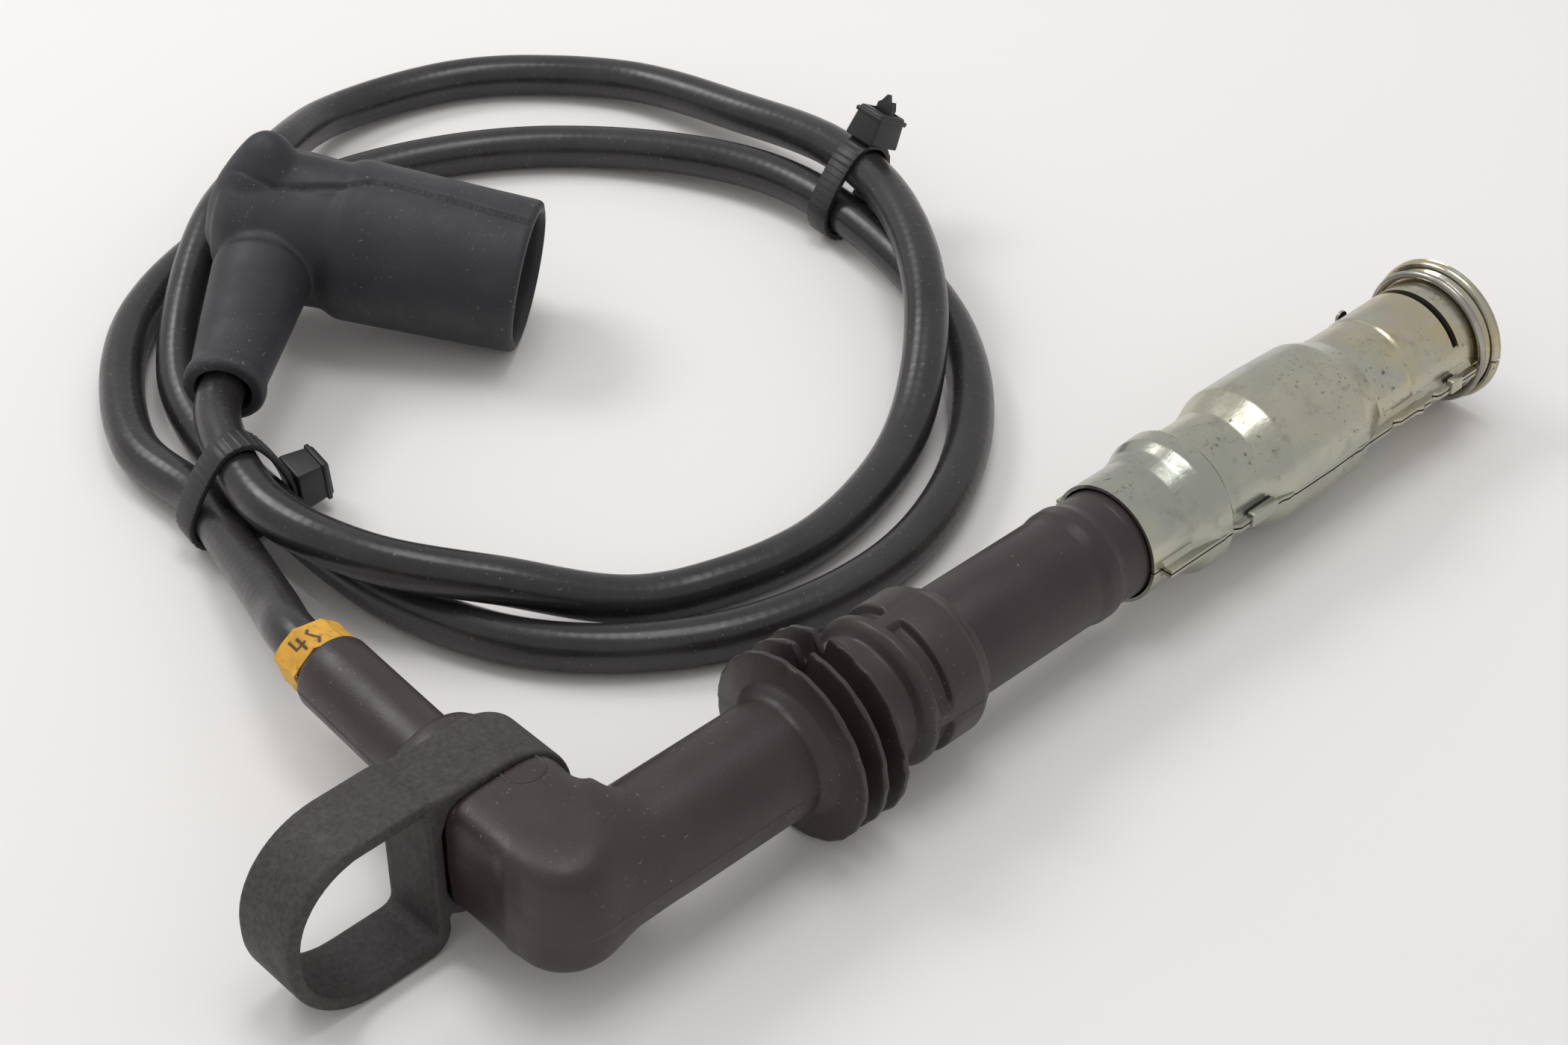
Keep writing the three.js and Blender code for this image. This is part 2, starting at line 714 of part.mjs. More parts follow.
function cableTie(tie) {
  const yaw = degrees(tie.yaw);
  const along = new THREE.Vector3(Math.cos(yaw), Math.sin(yaw), 0);
  const up = new THREE.Vector3(0, 0, 1);
  const across = new THREE.Vector3().crossVectors(up, along);
  const place = new THREE.Matrix4().makeBasis(across, up, along).setPosition(...tie.at);
  const cables = bundleIn(tie, place);
  const outer = new THREE.Shape(bandOutline(cables, tie, tieThickness).getPoints());
  const inner = bandOutline(cables, tie, 0);
  const band = plate(outer, [inner], tieWidth).translate([0, 0, -tieWidth / 2]);
  // The head sits where the band is furthest out at its angle.
  const angle = degrees(tie.headAngle);
  const out = new THREE.Vector2(Math.cos(angle), Math.sin(angle));
  const seat = inner.getPoints().reduce((a, b) => (b.dot(out) > a.dot(out) ? b : a));
  const [length, height, width] = tieHead;
  const head = box([tieHeadSeat, -length / 2, -width / 2], [height, length / 2, width / 2]);
  const [thick, rise, wide] = tieStub;
  const stubSide = length / 2 - tieStubInset;
  const stub = box([height - 1, stubSide - thick, -wide / 2], [height + rise, stubSide, wide / 2]);
  const turn = (body) => body.rotate([0, 0, tie.headAngle]).translate([seat.x, seat.y, 0]);
  return placed(joined([band, turn(head.add(stub))]), place);
}

// The object's own pieces stand for its reference point; the cable and what is on it move along.
const ownPieces = new THREE.Group();
ownPieces.add(
  meshOf("elbow_boot", elbowBoot(), brownRubber),
  meshOf("pull_strap", pullStrap(), strapRubber),
  meshOf("connector_tube", connectorTube(), insulatorPlastic),
  meshOf("shield_upper_half", shieldUpperHalf(), zincSheet),
  meshOf("shield_lower_half", shieldLowerHalf(), zincSheet),
  meshOf("shield_retaining_ring", retainingRing(), springSteel),
  meshOf("cable_terminal", cableTerminal(), brass),
  meshOf("resistor_cap_cable_end", resistorCap(firstCap, firstCap + capLength), brass),
  meshOf("suppression_resistor", suppressionResistor(), ceramic),
  meshOf("resistor_cap_plug_end", resistorCap(secondCapEnd, secondCapEnd - capLength), brass),
  meshOf("contact_spring", contactSpring(), springSteel),
  meshOf("plug_clip_terminal", plugClip(), brass),
  meshOf("coil_boot", coilBoot(), greyRubber),
  meshOf("coil_terminal", coilTerminal(), brass),
);
const cablePieces = new THREE.Group();
cablePieces.add(
  meshOf("ignition_cable", ignitionCable(), cableJacket),
  meshOf("marker_band", markerBand(), yellowTape),
  ...ties.map((tie) => meshOf(tie.name, cableTie(tie), tiePlastic)),
);

// The origin is under the middle of the object's own pieces, on the ground.
const bounds = new THREE.Box3().setFromObject(ownPieces, true);
const middle = bounds.getCenter(new THREE.Vector3());
const sparkPlugWire = new THREE.Group();
sparkPlugWire.add(ownPieces, cablePieces);
for (const group of [ownPieces, cablePieces]) {
  group.position.set(-middle.x, -middle.y, -bounds.min.z);
}

export default sparkPlugWire;
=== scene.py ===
# %% [markdown]
# # A spark plug wire with a shielded right-angle connector
#
# The ignition cable of an older car engine: a rubber elbow with a pull strap and a sheet-metal shield
# that goes over the spark plug, almost a metre of black cable laid in two turns under two cable ties,
# and a soft rubber boot for the ignition coil.
#
# Every piece is drawn in millimetres in the lead's own frame. The connector's axis runs along +X from
# its first sealing fin, the cable leaves along +Y, and the ground is z = 0.

# %% Frame
import math

import bmesh
import bpy
import numpy as np
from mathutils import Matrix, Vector


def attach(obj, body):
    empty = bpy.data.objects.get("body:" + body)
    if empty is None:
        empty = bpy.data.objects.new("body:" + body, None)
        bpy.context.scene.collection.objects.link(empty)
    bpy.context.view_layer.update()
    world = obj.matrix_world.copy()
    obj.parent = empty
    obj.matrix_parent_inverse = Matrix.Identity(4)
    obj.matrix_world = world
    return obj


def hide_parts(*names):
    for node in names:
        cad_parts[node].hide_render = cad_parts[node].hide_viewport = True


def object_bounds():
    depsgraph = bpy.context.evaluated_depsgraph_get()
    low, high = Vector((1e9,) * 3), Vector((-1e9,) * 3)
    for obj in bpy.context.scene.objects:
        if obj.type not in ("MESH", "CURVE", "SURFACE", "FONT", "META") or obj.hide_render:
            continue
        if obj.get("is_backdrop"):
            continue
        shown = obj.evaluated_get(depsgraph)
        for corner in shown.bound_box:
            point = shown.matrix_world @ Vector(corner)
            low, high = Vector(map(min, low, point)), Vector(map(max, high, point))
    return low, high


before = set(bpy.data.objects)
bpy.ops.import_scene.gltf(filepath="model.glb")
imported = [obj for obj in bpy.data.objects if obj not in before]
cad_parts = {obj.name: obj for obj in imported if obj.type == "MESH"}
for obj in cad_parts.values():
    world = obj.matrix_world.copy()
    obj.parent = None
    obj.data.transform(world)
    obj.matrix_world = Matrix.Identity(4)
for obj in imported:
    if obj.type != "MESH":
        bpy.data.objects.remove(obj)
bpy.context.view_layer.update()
scene = bpy.context.scene

# %% [markdown]
# ## Places
#
# The row frame's origin lies under the middle of the model, so everything drawn in the lead's own
# frame moves by one fixed step. The connector lies on its fins and on its shield's flared rim, which
# tilts its axis by about one degree.

# %% Frames of the lead
FIRST_FIN = np.array([-34.447, -67.852, 0.0])
TILT = math.radians(1.1053)
AXIS_HEIGHT = 14.063
SLEEVE_X = -37.25
SLEEVE_YAW = math.radians(3.4)
SLEEVE_HEIGHT = AXIS_HEIGHT - SLEEVE_X * math.sin(TILT)
SLEEVE_LENGTH = 52.0


def metres(points):
    """Lead-frame millimetres to the row frame's metres."""
    return (np.asarray(points, float) + FIRST_FIN) / 1000


def aimed(yaw, pitch):
    """Unit vectors of a frame whose first axis has that yaw and points down by that pitch."""
    y, p = math.radians(yaw), math.radians(pitch)
    ahead = np.array([math.cos(y) * math.cos(p), math.sin(y) * math.cos(p), -math.sin(p)])
    side = np.array([-math.sin(y), math.cos(y), 0.0])
    return ahead, side, np.cross(ahead, side)


CONNECTOR = (np.array([0, 0, AXIS_HEIGHT]), *aimed(0, math.degrees(TILT)))
SLEEVE = (np.array([SLEEVE_X, 0, SLEEVE_HEIGHT]), *aimed(90 - math.degrees(SLEEVE_YAW), 0))
BARREL_LENGTH = 40.3
BARREL_PITCH = 8.2
MOUTH_RADIUS = 12.0
BARREL_YAW = -52.8
CORNER_X = 20.8
CORNER_Y = 137.7
CORNER = np.array([
    CORNER_X, CORNER_Y,
    MOUTH_RADIUS * math.cos(math.radians(BARREL_PITCH))
    + BARREL_LENGTH * math.sin(math.radians(BARREL_PITCH)),
])
BARREL = (CORNER, *aimed(BARREL_YAW, BARREL_PITCH))
LEG_LENGTH = 37.1
LEG_YAW = -140.2
LEG_PITCH = 7.8
LEG = (CORNER, *aimed(LEG_YAW, LEG_PITCH))


def at(place, along, side=0.0, up=0.0):
    """A point, or points, given along a place's three axes."""
    origin, x, y, z = place
    a, b, c = np.broadcast_arrays(along, side, up)
    return origin + a[..., None] * x + b[..., None] * y + c[..., None] * z


print("sleeve at", metres(SLEEVE[0]).round(4), "coil boot's corner at", metres(CORNER).round(4))

# %% [markdown]
# ## The camera
#
# The lead is seen from 40 degrees above, with the cable running away to the upper left. A lens of
# 70 mm at arm's length keeps the perspective mild.

# %% Camera
CAMERA_SPOT = (-195.93, -205.02, 290.2)
LOOK_AZIMUTH = 46.41
LOOK_DOWN = 40
LENS = 70.15
camera_data = bpy.data.cameras.new("camera")
camera_data.lens = LENS
camera_data.sensor_width = 36
camera = bpy.data.objects.new("camera", camera_data)
scene.collection.objects.link(camera)
camera.location = metres(CAMERA_SPOT)
look = Vector(aimed(LOOK_AZIMUTH, LOOK_DOWN)[0])
camera.rotation_euler = look.to_track_quat("-Z", "Y").to_euler()
scene.camera = camera
scene.view_settings.view_transform = "Standard"
print("camera at", [round(v, 3) for v in camera.location])

# %% [markdown]
# ## Surfaces from rings
#
# Moulded rubber, turned metal and bent sheet are all sections carried along a path. One function
# takes the sections as rows of points, joins them with four-sided faces, closes the ends and gives
# each corner its texture coordinates in metres along and around the piece.

# %% Grid surfaces
def smoothed(piece, crease):
    """The piece shaded smooth, except at edges sharper than crease degrees."""
    piece.data.shade_smooth()
    piece.data.set_sharp_from_angle(angle=math.radians(crease))
    return piece


def new_object(name, points, faces, uv=None, crease=40):
    """A mesh from lead-frame points and faces, smooth up to the crease angle."""
    mesh = bpy.data.meshes.new(name)
    mesh.from_pydata(metres(points).tolist(), [], [list(map(int, f)) for f in faces])
    if uv is not None:
        layer = mesh.uv_layers.new(name="UVMap")
        layer.data.foreach_set("uv", np.asarray(uv, "f").ravel())
    mesh.validate()
    mesh.update()
    piece = bpy.data.objects.new(name, mesh)
    scene.collection.objects.link(piece)
    return smoothed(piece, crease)


def grid(rings, along=False, ends="fan"):
    """Points, faces and uv of closed rings (n, m, 3), joined one to the next. With along the last
    joins the first; else ends is fan, round a middle point, or flat. Faces are turned to look out."""
    rings = np.asarray(rings, float)
    n, m, _ = rings.shape
    i = np.arange(n if along else n - 1)[:, None]
    i, j = (k.ravel() for k in np.broadcast_arrays(i, np.arange(m)[None, :]))
    k, l = (i + 1) % n, (j + 1) % m
    quads = np.stack([i * m + j, i * m + l, k * m + l, k * m + j], -1)
    step_along = np.linalg.norm(np.roll(rings, -1, 0) - rings, axis=2).mean(1)
    step_around = np.linalg.norm(np.roll(rings, -1, 1) - rings, axis=2).mean(0)
    u = np.concatenate([[0], np.cumsum(step_along)]) / 1000
    v = np.concatenate([[0], np.cumsum(step_around)]) / 1000
    uv = np.stack([
        np.stack([u[i], v[j]], -1), np.stack([u[i], v[j + 1]], -1),
        np.stack([u[i + 1], v[j + 1]], -1), np.stack([u[i + 1], v[j]], -1),
    ], 1)
    points = rings.reshape(-1, 3)
    faces = [tuple(q) for q in quads]
    loops = [tuple(map(tuple, q)) for q in uv]
    if along:
        ends = None
    if ends == "flat":
        faces += [tuple(range(m))[::-1], tuple(range((n - 1) * m, n * m))]
        loops += [tuple((u[0], w) for w in v[:m]), tuple((u[n - 1], w) for w in v[:m])]
    if ends == "fan":
        points = np.vstack([points, rings[0].mean(0), rings[-1].mean(0)])
        for b in range(m):
            c = (b + 1) % m
            faces.append((n * m, c, b))
            faces.append((n * m + 1, (n - 1) * m + b, (n - 1) * m + c))
            loops += [((u[0], v[b]),) * 3, ((u[-2], v[b]),) * 3]
    a, b, c, d = (points[quads[:, k]] for k in range(4))
    volume = float((a * np.cross(b, c) + a * np.cross(c, d)).sum())
    if volume < 0:
        faces = [f[::-1] for f in faces]
        loops = [q[::-1] for q in loops]
    return points, faces, [corner for q in loops for corner in q]


def surface(name, rings, crease=40, **how):
    """A piece from rings of points."""
    return new_object(name, *grid(rings, **how), crease)


def together(first, *others, crease=35):
    """One mesh of several closed ones, which may reach into each other."""
    merged = bmesh.new()
    for piece in (first, *others):
        merged.from_mesh(piece.data)
    merged.to_mesh(first.data)
    merged.free()
    for piece in others:
        bpy.data.objects.remove(piece)
    return smoothed(first, crease)


def turn_angles(count):
    """A whole turn in count equal steps."""
    return np.linspace(0, 2 * math.pi, count, endpoint=False)


def lathe(place, profile, count=96):
    """Rings of a profile of (station, radius) rows turned about a place's first axis."""
    a = turn_angles(count)
    s, r = np.asarray(profile, float).T
    return at(place, s[:, None], r[:, None] * np.cos(a), r[:, None] * np.sin(a))


def rounded(profile, radius=0.4, steps=4):
    """The profile with each inner corner replaced by a curve that starts radius away from it, or
    less where the sides are short: p(t) = (1-t)^2 a + 2t(1-t) b + t^2 c."""
    rows = np.asarray(profile, float)
    out = [rows[0]]
    for before, corner, after in zip(rows[:-2], rows[1:-1], rows[2:]):
        back, on = before - corner, after - corner
        lb, lo = np.linalg.norm(back), np.linalg.norm(on)
        r = min(radius, 0.45 * lb, 0.45 * lo)
        a, c = corner + back / lb * r, corner + on / lo * r
        for t in np.linspace(0, 1, steps + 1):
            out.append((1 - t) ** 2 * a + 2 * t * (1 - t) * corner + t * t * c)
    out.append(rows[-1])
    return np.array(out)


def coated(piece, material):
    """Gives the piece its only material."""
    piece.data.materials.clear()
    piece.data.materials.append(material)


def finished(piece, material, node):
    """Coats the piece, lets it ride on the one body and stand for its CAD node."""
    coated(piece, material)
    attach(piece, "root")
    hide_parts(node)
    print(piece.name, len(piece.data.polygons), "faces")
    return piece


# %% [markdown]
# ## Finishes
#
# Nothing on a used lead has one flat colour. Each finish mixes close shades by broad noise, lets
# another noise change the roughness, and adds a fine grain to the surface. Handling leaves pale
# specks of dust on the rubber: a sharp-edged noise, kept to a few patches.

# %% Finish builder
def srgb(r, g, b):
    """A colour as seen on a screen, 0 to 255, as linear light."""
    c = np.array([r, g, b]) / 255
    return (*np.where(c < 0.04045, c / 12.92, ((c + 0.055) / 1.055) ** 2.4).tolist(), 1.0)


class Finish:
    """A node material: helpers that add nodes and link them in one call each."""

    def __init__(self, name):
        self.material = bpy.data.materials.new(name)
        self.material.use_nodes = True
        self.tree = self.material.node_tree
        self.shader = self.tree.nodes["Principled BSDF"]
        self.coordinates = self.node("TexCoord").outputs["Object"]

    def put(self, socket, value):
        if isinstance(value, bpy.types.NodeSocket):
            self.tree.links.new(value, socket)
        else:
            socket.default_value = value

    def node(self, kind, inputs=(), **settings):
        """A node with these settings; inputs are pairs of a socket and its value or source."""
        node = self.tree.nodes.new("ShaderNode" + kind)
        for key, value in settings.items():
            setattr(node, key, value)
        for socket, value in inputs:
            self.put(node.inputs[socket], value)
        return node

    def noise(self, scale, detail=4, roughness=0.55, stretch=None):
        source = self.coordinates
        if stretch:
            source = self.node("Mapping", [("Scale", stretch), ("Vector", source)]).outputs["Vector"]
        return self.node("TexNoise", [
            ("Scale", scale), ("Detail", detail), ("Roughness", roughness), ("Vector", source),
        ]).outputs["Fac"]

    def ramp(self, fac, low, high, first=0.0, last=1.0):
        return self.node("MapRange", [
            ("Value", fac), ("From Min", low), ("From Max", high), ("To Min", first), ("To Max", last),
        ]).outputs["Result"]

    def mix(self, fac, a, b):
        return self.node("Mix", [(0, fac), (6, a), (7, b)], data_type="RGBA").outputs[2]

    def math(self, operation, a, b=0.0):
        return self.node("Math", [(0, a), (1, b)], operation=operation).outputs[0]

    def vector(self, operation, a, b=None, output="Vector"):
        second = [] if b is None else [("Scale" if operation == "SCALE" else 1, b)]
        return self.node("VectorMath", [(0, a), *second], operation=operation).outputs[output]

    def bump(self, height, distance, strength, below=None):
        lower = [("Normal", below)] if below else []
        return self.node("Bump", [
            ("Strength", strength), ("Distance", distance), ("Height", height), *lower,
        ]).outputs["Normal"]

    def shade(self, **sockets):
        for name, value in sockets.items():
            self.put(self.shader.inputs[name.replace("_", " ")], value)
        return self.material


def rubber(name, dark, light, smooth, rough, grain=0.00006, dust=0.69, specular=0.5):
    """Two close shades under a fine grain, with rare, small specks of dust."""
    f = Finish(name)
    broad = f.ramp(f.noise(60, 5), 0.35, 0.65)
    colour = f.mix(broad, srgb(*dark), srgb(*light))
    specks = f.ramp(f.noise(1700, 2, 0.4), dust, dust + 0.05)
    patches = f.ramp(f.noise(55, 3), 0.46, 0.6)
    dusty = f.math("MULTIPLY", f.math("MULTIPLY", specks, patches), 0.4)
    colour = f.mix(dusty, colour, srgb(150, 146, 142))
    roughness = f.ramp(f.noise(220, 4), 0.3, 0.7, smooth, rough)
    fine = f.bump(f.noise(2600, 3), grain, 0.5)
    normal = f.bump(f.noise(350, 3), 0.0001, 0.3, fine)
    return f.shade(
        Base_Color=colour, Roughness=roughness, Specular_IOR_Level=specular, Normal=normal,
    )


def strap_rubber():
    """Matt rubber with a fine pale bloom in mottled patches."""
    f = Finish("strap_grey")
    bloom = f.ramp(f.noise(1300, 8, 0.7), 0.36, 0.72)
    patches = f.ramp(f.noise(70, 4), 0.3, 0.7, 0.45, 1.0)
    colour = f.mix(f.math("MULTIPLY", bloom, patches), srgb(52, 49, 49), srgb(82, 79, 78))
    roughness = f.ramp(f.noise(300, 4), 0.3, 0.7, 0.55, 0.72)
    normal = f.bump(f.noise(1500, 5), 0.00012, 0.6)
    return f.shade(
        Base_Color=colour, Roughness=roughness, Specular_IOR_Level=0.35, Normal=normal,
    )


BRAID_STRANDS = 9
BRAID_PITCH = 0.0036
CABLE_GIRTH = 0.02194


def cable_jacket():
    """Smooth black jacket over a braid, which shows through as a faint lattice: the product of two
    sine waves that slant either way and go a whole number of times into the girth."""
    f = Finish("cable_black")
    u, v, _ = f.node("SeparateXYZ", [(0, f.node("TexCoord").outputs["UV"])]).outputs
    along = f.math("MULTIPLY", u, 2 * math.pi / BRAID_PITCH)
    around = f.math("MULTIPLY", v, 2 * math.pi * BRAID_STRANDS / CABLE_GIRTH)
    lattice = f.math("MULTIPLY", f.math("SINE", f.math("ADD", along, around)),
                     f.math("SINE", f.math("SUBTRACT", along, around)))
    colour = f.mix(f.ramp(f.noise(80, 5), 0.35, 0.65), srgb(34, 32, 33), srgb(47, 45, 46))
    specks = f.ramp(f.noise(1700, 2, 0.4), 0.7, 0.74, 0, 0.3)
    colour = f.mix(specks, colour, srgb(140, 138, 136))
    normal = f.bump(f.ramp(lattice, -1, 1), 0.00003, 0.55)
    normal = f.bump(f.noise(2400, 3), 0.00003, 0.4, normal)
    return f.shade(
        Base_Color=colour, Roughness=f.ramp(f.noise(220, 4), 0.3, 0.7, 0.22, 0.34), Normal=normal,
    )


cable_black = cable_jacket()
elbow_brown = rubber("elbow_brown", (43, 33, 35), (52, 42, 43), 0.34, 0.48)
boot_grey = rubber("boot_grey", (41, 40, 44), (53, 52, 56), 0.48, 0.62, specular=0.4)
strap_grey = strap_rubber()
tie_black = rubber("tie_black", (30, 29, 30), (40, 38, 39), 0.35, 0.5, 0.00004, 0.72)
insulator_brown = rubber("insulator_brown", (41, 32, 34), (50, 40, 42), 0.32, 0.42, 0.00004, 0.72)

# %% [markdown]
# ## The ignition cable
#
# Seven millimetres of silicone or rubber round a glass or aramid core. It is stiff enough to lie in
# wide turns of its own, so its centre line is a curve through listed points: it leaves the sleeve,
# goes round twice and comes back into the coil boot's leg. A centripetal Catmull-Rom curve passes
# through every point without loops, whatever their spacing.

# %% Cable
CABLE_RADIUS = 3.5
CABLE_ROUTE = [
    [-30.4, 70, 12], [-24.4, 88, 7.5], [-20, 104, 5], [-18.9, 122.6, 4], [-1.4, 148.2, 3.5],
    [25.4, 159.4, 3.5], [53.5, 157.4, 3.5], [81.5, 141, 3.5], [99, 111, 5], [99.5, 84.5, 5],
    [90.5, 56.5, 3.5], [70, 35, 3.5], [44.5, 25.5, 3.5], [17.5, 30, 3.5], [-3, 46.5, 3.5],
    [-12, 68.5, 3.5], [-12.5, 102, 5], [-10, 116.5, 3.5], [-5, 130.5, 4.5], [7, 144.5, 8],
    [21, 155.5, 11], [38, 164.6, 9.5], [58.3, 174.8, 4.5], [83.2, 169.5, 3.5], [102.2, 149.6, 4],
    [107.5, 124.5, 6.5], [107, 100, 10.5], [99, 77.5, 12.5], [85.5, 58.5, 10], [65, 43.4, 4],
    [38.6, 36.5, 3.5], [13.6, 43.4, 4], [-3, 55.9, 9.5], [-15, 69.5, 12.5], [-19, 86, 13],
    [-15, 102.5, 12.5],
]
HIDDEN = 20.0


def centripetal(points, steps=24):
    """Catmull-Rom through the points; the ends are mirrored."""
    rows = np.vstack([2 * points[0] - points[1], points, 2 * points[-1] - points[-2]])
    out = []
    t = np.linspace(0, 1, steps, endpoint=False)[:, None]
    for a, b, c, d in zip(rows[:-3], rows[1:-2], rows[2:-1], rows[3:]):
        d0, d1, d2 = (math.sqrt(np.linalg.norm(v)) for v in (b - a, c - b, d - c))
        t1 = ((b - a) / d0 - (c - a) / (d0 + d1) + (c - b) / d1) * d1
        t2 = ((c - b) / d1 - (d - b) / (d1 + d2) + (d - c) / d2) * d1
        out.append(b + t1 * t + (3 * c - 3 * b - 2 * t1 - t2) * t**2
                   + (2 * b - 2 * c + t1 + t2) * t**3)
    return np.vstack([*out, rows[-2:-1]])


def travelled(path):
    """The length along a path up to each of its points."""
    return np.concatenate([[0], np.cumsum(np.linalg.norm(np.diff(path, axis=0), axis=1))])


def even(path, count):
    """The path again as count evenly spaced points."""
    length = travelled(path)
    marks = np.linspace(0, length[-1], count)
    return np.stack([np.interp(marks, length, column) for column in path.T], 1)


def rings_along(path, radius, count):
    """Circles square to a path, turned as little as possible from one to the next."""
    ahead = np.gradient(path, axis=0)
    ahead /= np.linalg.norm(ahead, axis=1)[:, None]
    up = np.cross(ahead[0], [0, 0, 1.0])
    rings = []
    a = turn_angles(count)
    for p, t in zip(path, ahead):
        up = up - t * (up @ t)
        up /= np.linalg.norm(up)
        side = np.cross(t, up)
        rings.append(p + radius * (np.cos(a)[:, None] * up + np.sin(a)[:, None] * side))
    return np.array(rings)


cable_points = np.vstack([
    at(SLEEVE, SLEEVE_LENGTH - HIDDEN),
    at(SLEEVE, SLEEVE_LENGTH * 0.8),
    at(SLEEVE, SLEEVE_LENGTH + 8.9),
    CABLE_ROUTE,
    at(LEG, LEG_LENGTH + CABLE_RADIUS),
    at(LEG, LEG_LENGTH * 0.8),
    at(LEG, LEG_LENGTH - HIDDEN),
])
cable_path = centripetal(cable_points)
cable_path = even(cable_path, round(travelled(cable_path)[-1]) + 1)
cable_path[:, 2] = np.maximum(cable_path[:, 2], CABLE_RADIUS)
cable = surface("ignition_cable_detailed", rings_along(cable_path, CABLE_RADIUS, 28))

# %% [markdown]
# ## The elbow boot
#
# One rubber moulding: an end lip, a grooved collar and three sealing fins round the connector's axis,
# a smooth tube, a thick corner, a boss for the pull strap and a long sleeve for the cable. Carrying
# one section through the turn keeps the corner's surface whole, as the mould did. Each section is a
# superellipse, |x|^n + |z|^n = 1, with its own reach on the inner, outer, upper and lower side: n = 2
# is a circle and a larger n is squarer.

# %% Elbow boot
FIN_RADIUS = 13.9
TUBE_RADIUS = 8.4
NECK_RADIUS = 9.1
HUB_RADIUS = 9.5
BLOCK_LEFT = -45.0
BLOCK_FRONT = -8.3
BLOCK_CORNER = 8.5
BLOCK_TOP = 9.8
BLOCK_TURN_STEPS = 45
EDGE_Y = 2.6
EDGE_LIFT = 0.4
EDGE_WIDTH = 1.1
FIN_STEP = 3.7
PIVOT = np.array([-25.5, 9.5])
SEAM_ANGLES = np.radians([0.35, 0.7, 1.2, 2.2])


def elbow_angles():
    """Angles round a section, closer together at the two mould seams and at the fins' notch."""
    base = np.radians(np.concatenate([np.arange(0, 360, 3.75), np.arange(86, 109, 1.25)]))
    seams = np.concatenate([s + k * SEAM_ANGLES for s in (0, math.pi) for k in (-1, 1)])
    return np.unique(np.round(np.mod(np.concatenate([base, seams]), 2 * math.pi), 6))


ELBOW_ANGLES = elbow_angles()


def ease(t):
    """A smooth step from 0 to 1: 3 t^2 - 2 t^3."""
    return t * t * (3 - 2 * t)


NOTCH_AT = 97
NOTCH_HALF = 6.5
NOTCH_DEPTH = 4.6
LUG_ANGLES = (-84, 6, 96, 186)
LUG_HALF = 8
LUG_RADIUS = 10.7
LUG_SPAN = (16.2, 20.6)
BORE_RADIUS = 6.55


def fin_limit(fin):
    """How far a fin reaches at each angle: a ragged edge, and a V cut at the top of the second and
    third."""
    t = ELBOW_ANGLES
    ragged = 0.16 * (np.sin(5 * t + fin) * np.sin(11 * t + 2 * fin) + np.sin(23 * t + fin)) / 2
    off = np.abs(np.degrees(t) - NOTCH_AT - 1.5 * fin) / NOTCH_HALF
    cut = NOTCH_DEPTH * np.clip(1 - off, 0, None) if fin else 0 * t
    return FIN_RADIUS - 0.16 + ragged - cut


def lugs(radius):
    """The collar's groove, bridged by four lugs."""
    turned = np.degrees(ELBOW_ANGLES)[:, None] - np.array(LUG_ANGLES)
    near = np.abs((turned + 180) % 360 - 180).min(1)
    lift = ease(np.clip((LUG_HALF - near) / 7 + 0.5, 0, 1))
    return radius + (LUG_RADIUS - radius) * lift


def collar_reach(station, radius):
    """A round section's radius by angle."""
    if LUG_SPAN[0] < station < LUG_SPAN[1] and radius > 9:
        return lugs(radius)
    fin = int(round(station / FIN_STEP))
    if fin in (0, 1, 2) and radius > NECK_RADIUS + 0.6 and station < 3 * FIN_STEP:
        return np.minimum(radius, fin_limit(fin))
    return np.full(len(ELBOW_ANGLES), radius)


def superellipse(centre, outward, upward, reach, power):
    """One section; reach is (inner, outer, low, high) and power (inner, outer)."""
    c, s = np.cos(ELBOW_ANGLES), np.sin(ELBOW_ANGLES)
    e = 2 / np.where(c > 0, power[1], power[0])
    seam = 0.1 * np.exp(-(np.sin(ELBOW_ANGLES) / 0.014) ** 2)
    x = np.sign(c) * np.abs(c) ** e * np.where(c > 0, reach[1], reach[0]) + np.sign(c) * seam
    z = np.sign(s) * np.abs(s) ** e * np.where(s > 0, reach[3], reach[2])
    return centre + x[:, None] * outward + z[:, None] * upward


def fin_profile(start, root):
    """One sealing fin as (station, radius): thin, with a rounded edge and a small fillet."""
    return [
        (start - 0.5, root), (start, root + 0.4), (start + 0.12, FIN_RADIUS - 0.55),
        (start + 0.3, FIN_RADIUS - 0.12), (start + 0.6, FIN_RADIUS),
        (start + 0.9, FIN_RADIUS - 0.12), (start + 1.08, FIN_RADIUS - 0.55),
        (start + 1.2, NECK_RADIUS + 0.4), (start + 1.7, NECK_RADIUS),
    ]


collar = rounded([
    (13.2, 9.1), (14.1, 9.1), (15, 10.3), (15.8, 11), (17, 11), (17.4, 9.7), (19.4, 9.7),
    (19.8, 11), (25.4, 11), (26.4, 10.5), (26.9, 9.7), (28.2, 9.4), (28.3, 8.5), (27.5, 6.6),
    (20, BORE_RADIUS), (10, BORE_RADIUS),
], 0.35, 3)
fins = [
    row for k in (2, 1, 0)
    for row in fin_profile(FIN_STEP * k, NECK_RADIUS if k else HUB_RADIUS)[::-1]
]
tube = [(-0.9, 9.2), (-1.3, 8.8), *((s, TUBE_RADIUS) for s in (-1.8, -2.6, -9, -17, -23))]
axis_profile = np.array([*collar[::-1], *fins, *tube])
UP = np.array([0, 0, 1.0])
axis_side, axis_up = CONNECTOR[2:]
elbow = [
    superellipse(at(CONNECTOR, s), -axis_side, axis_up, (collar_reach(s, r),) * 4, (2, 2))
    for s, r in axis_profile
]


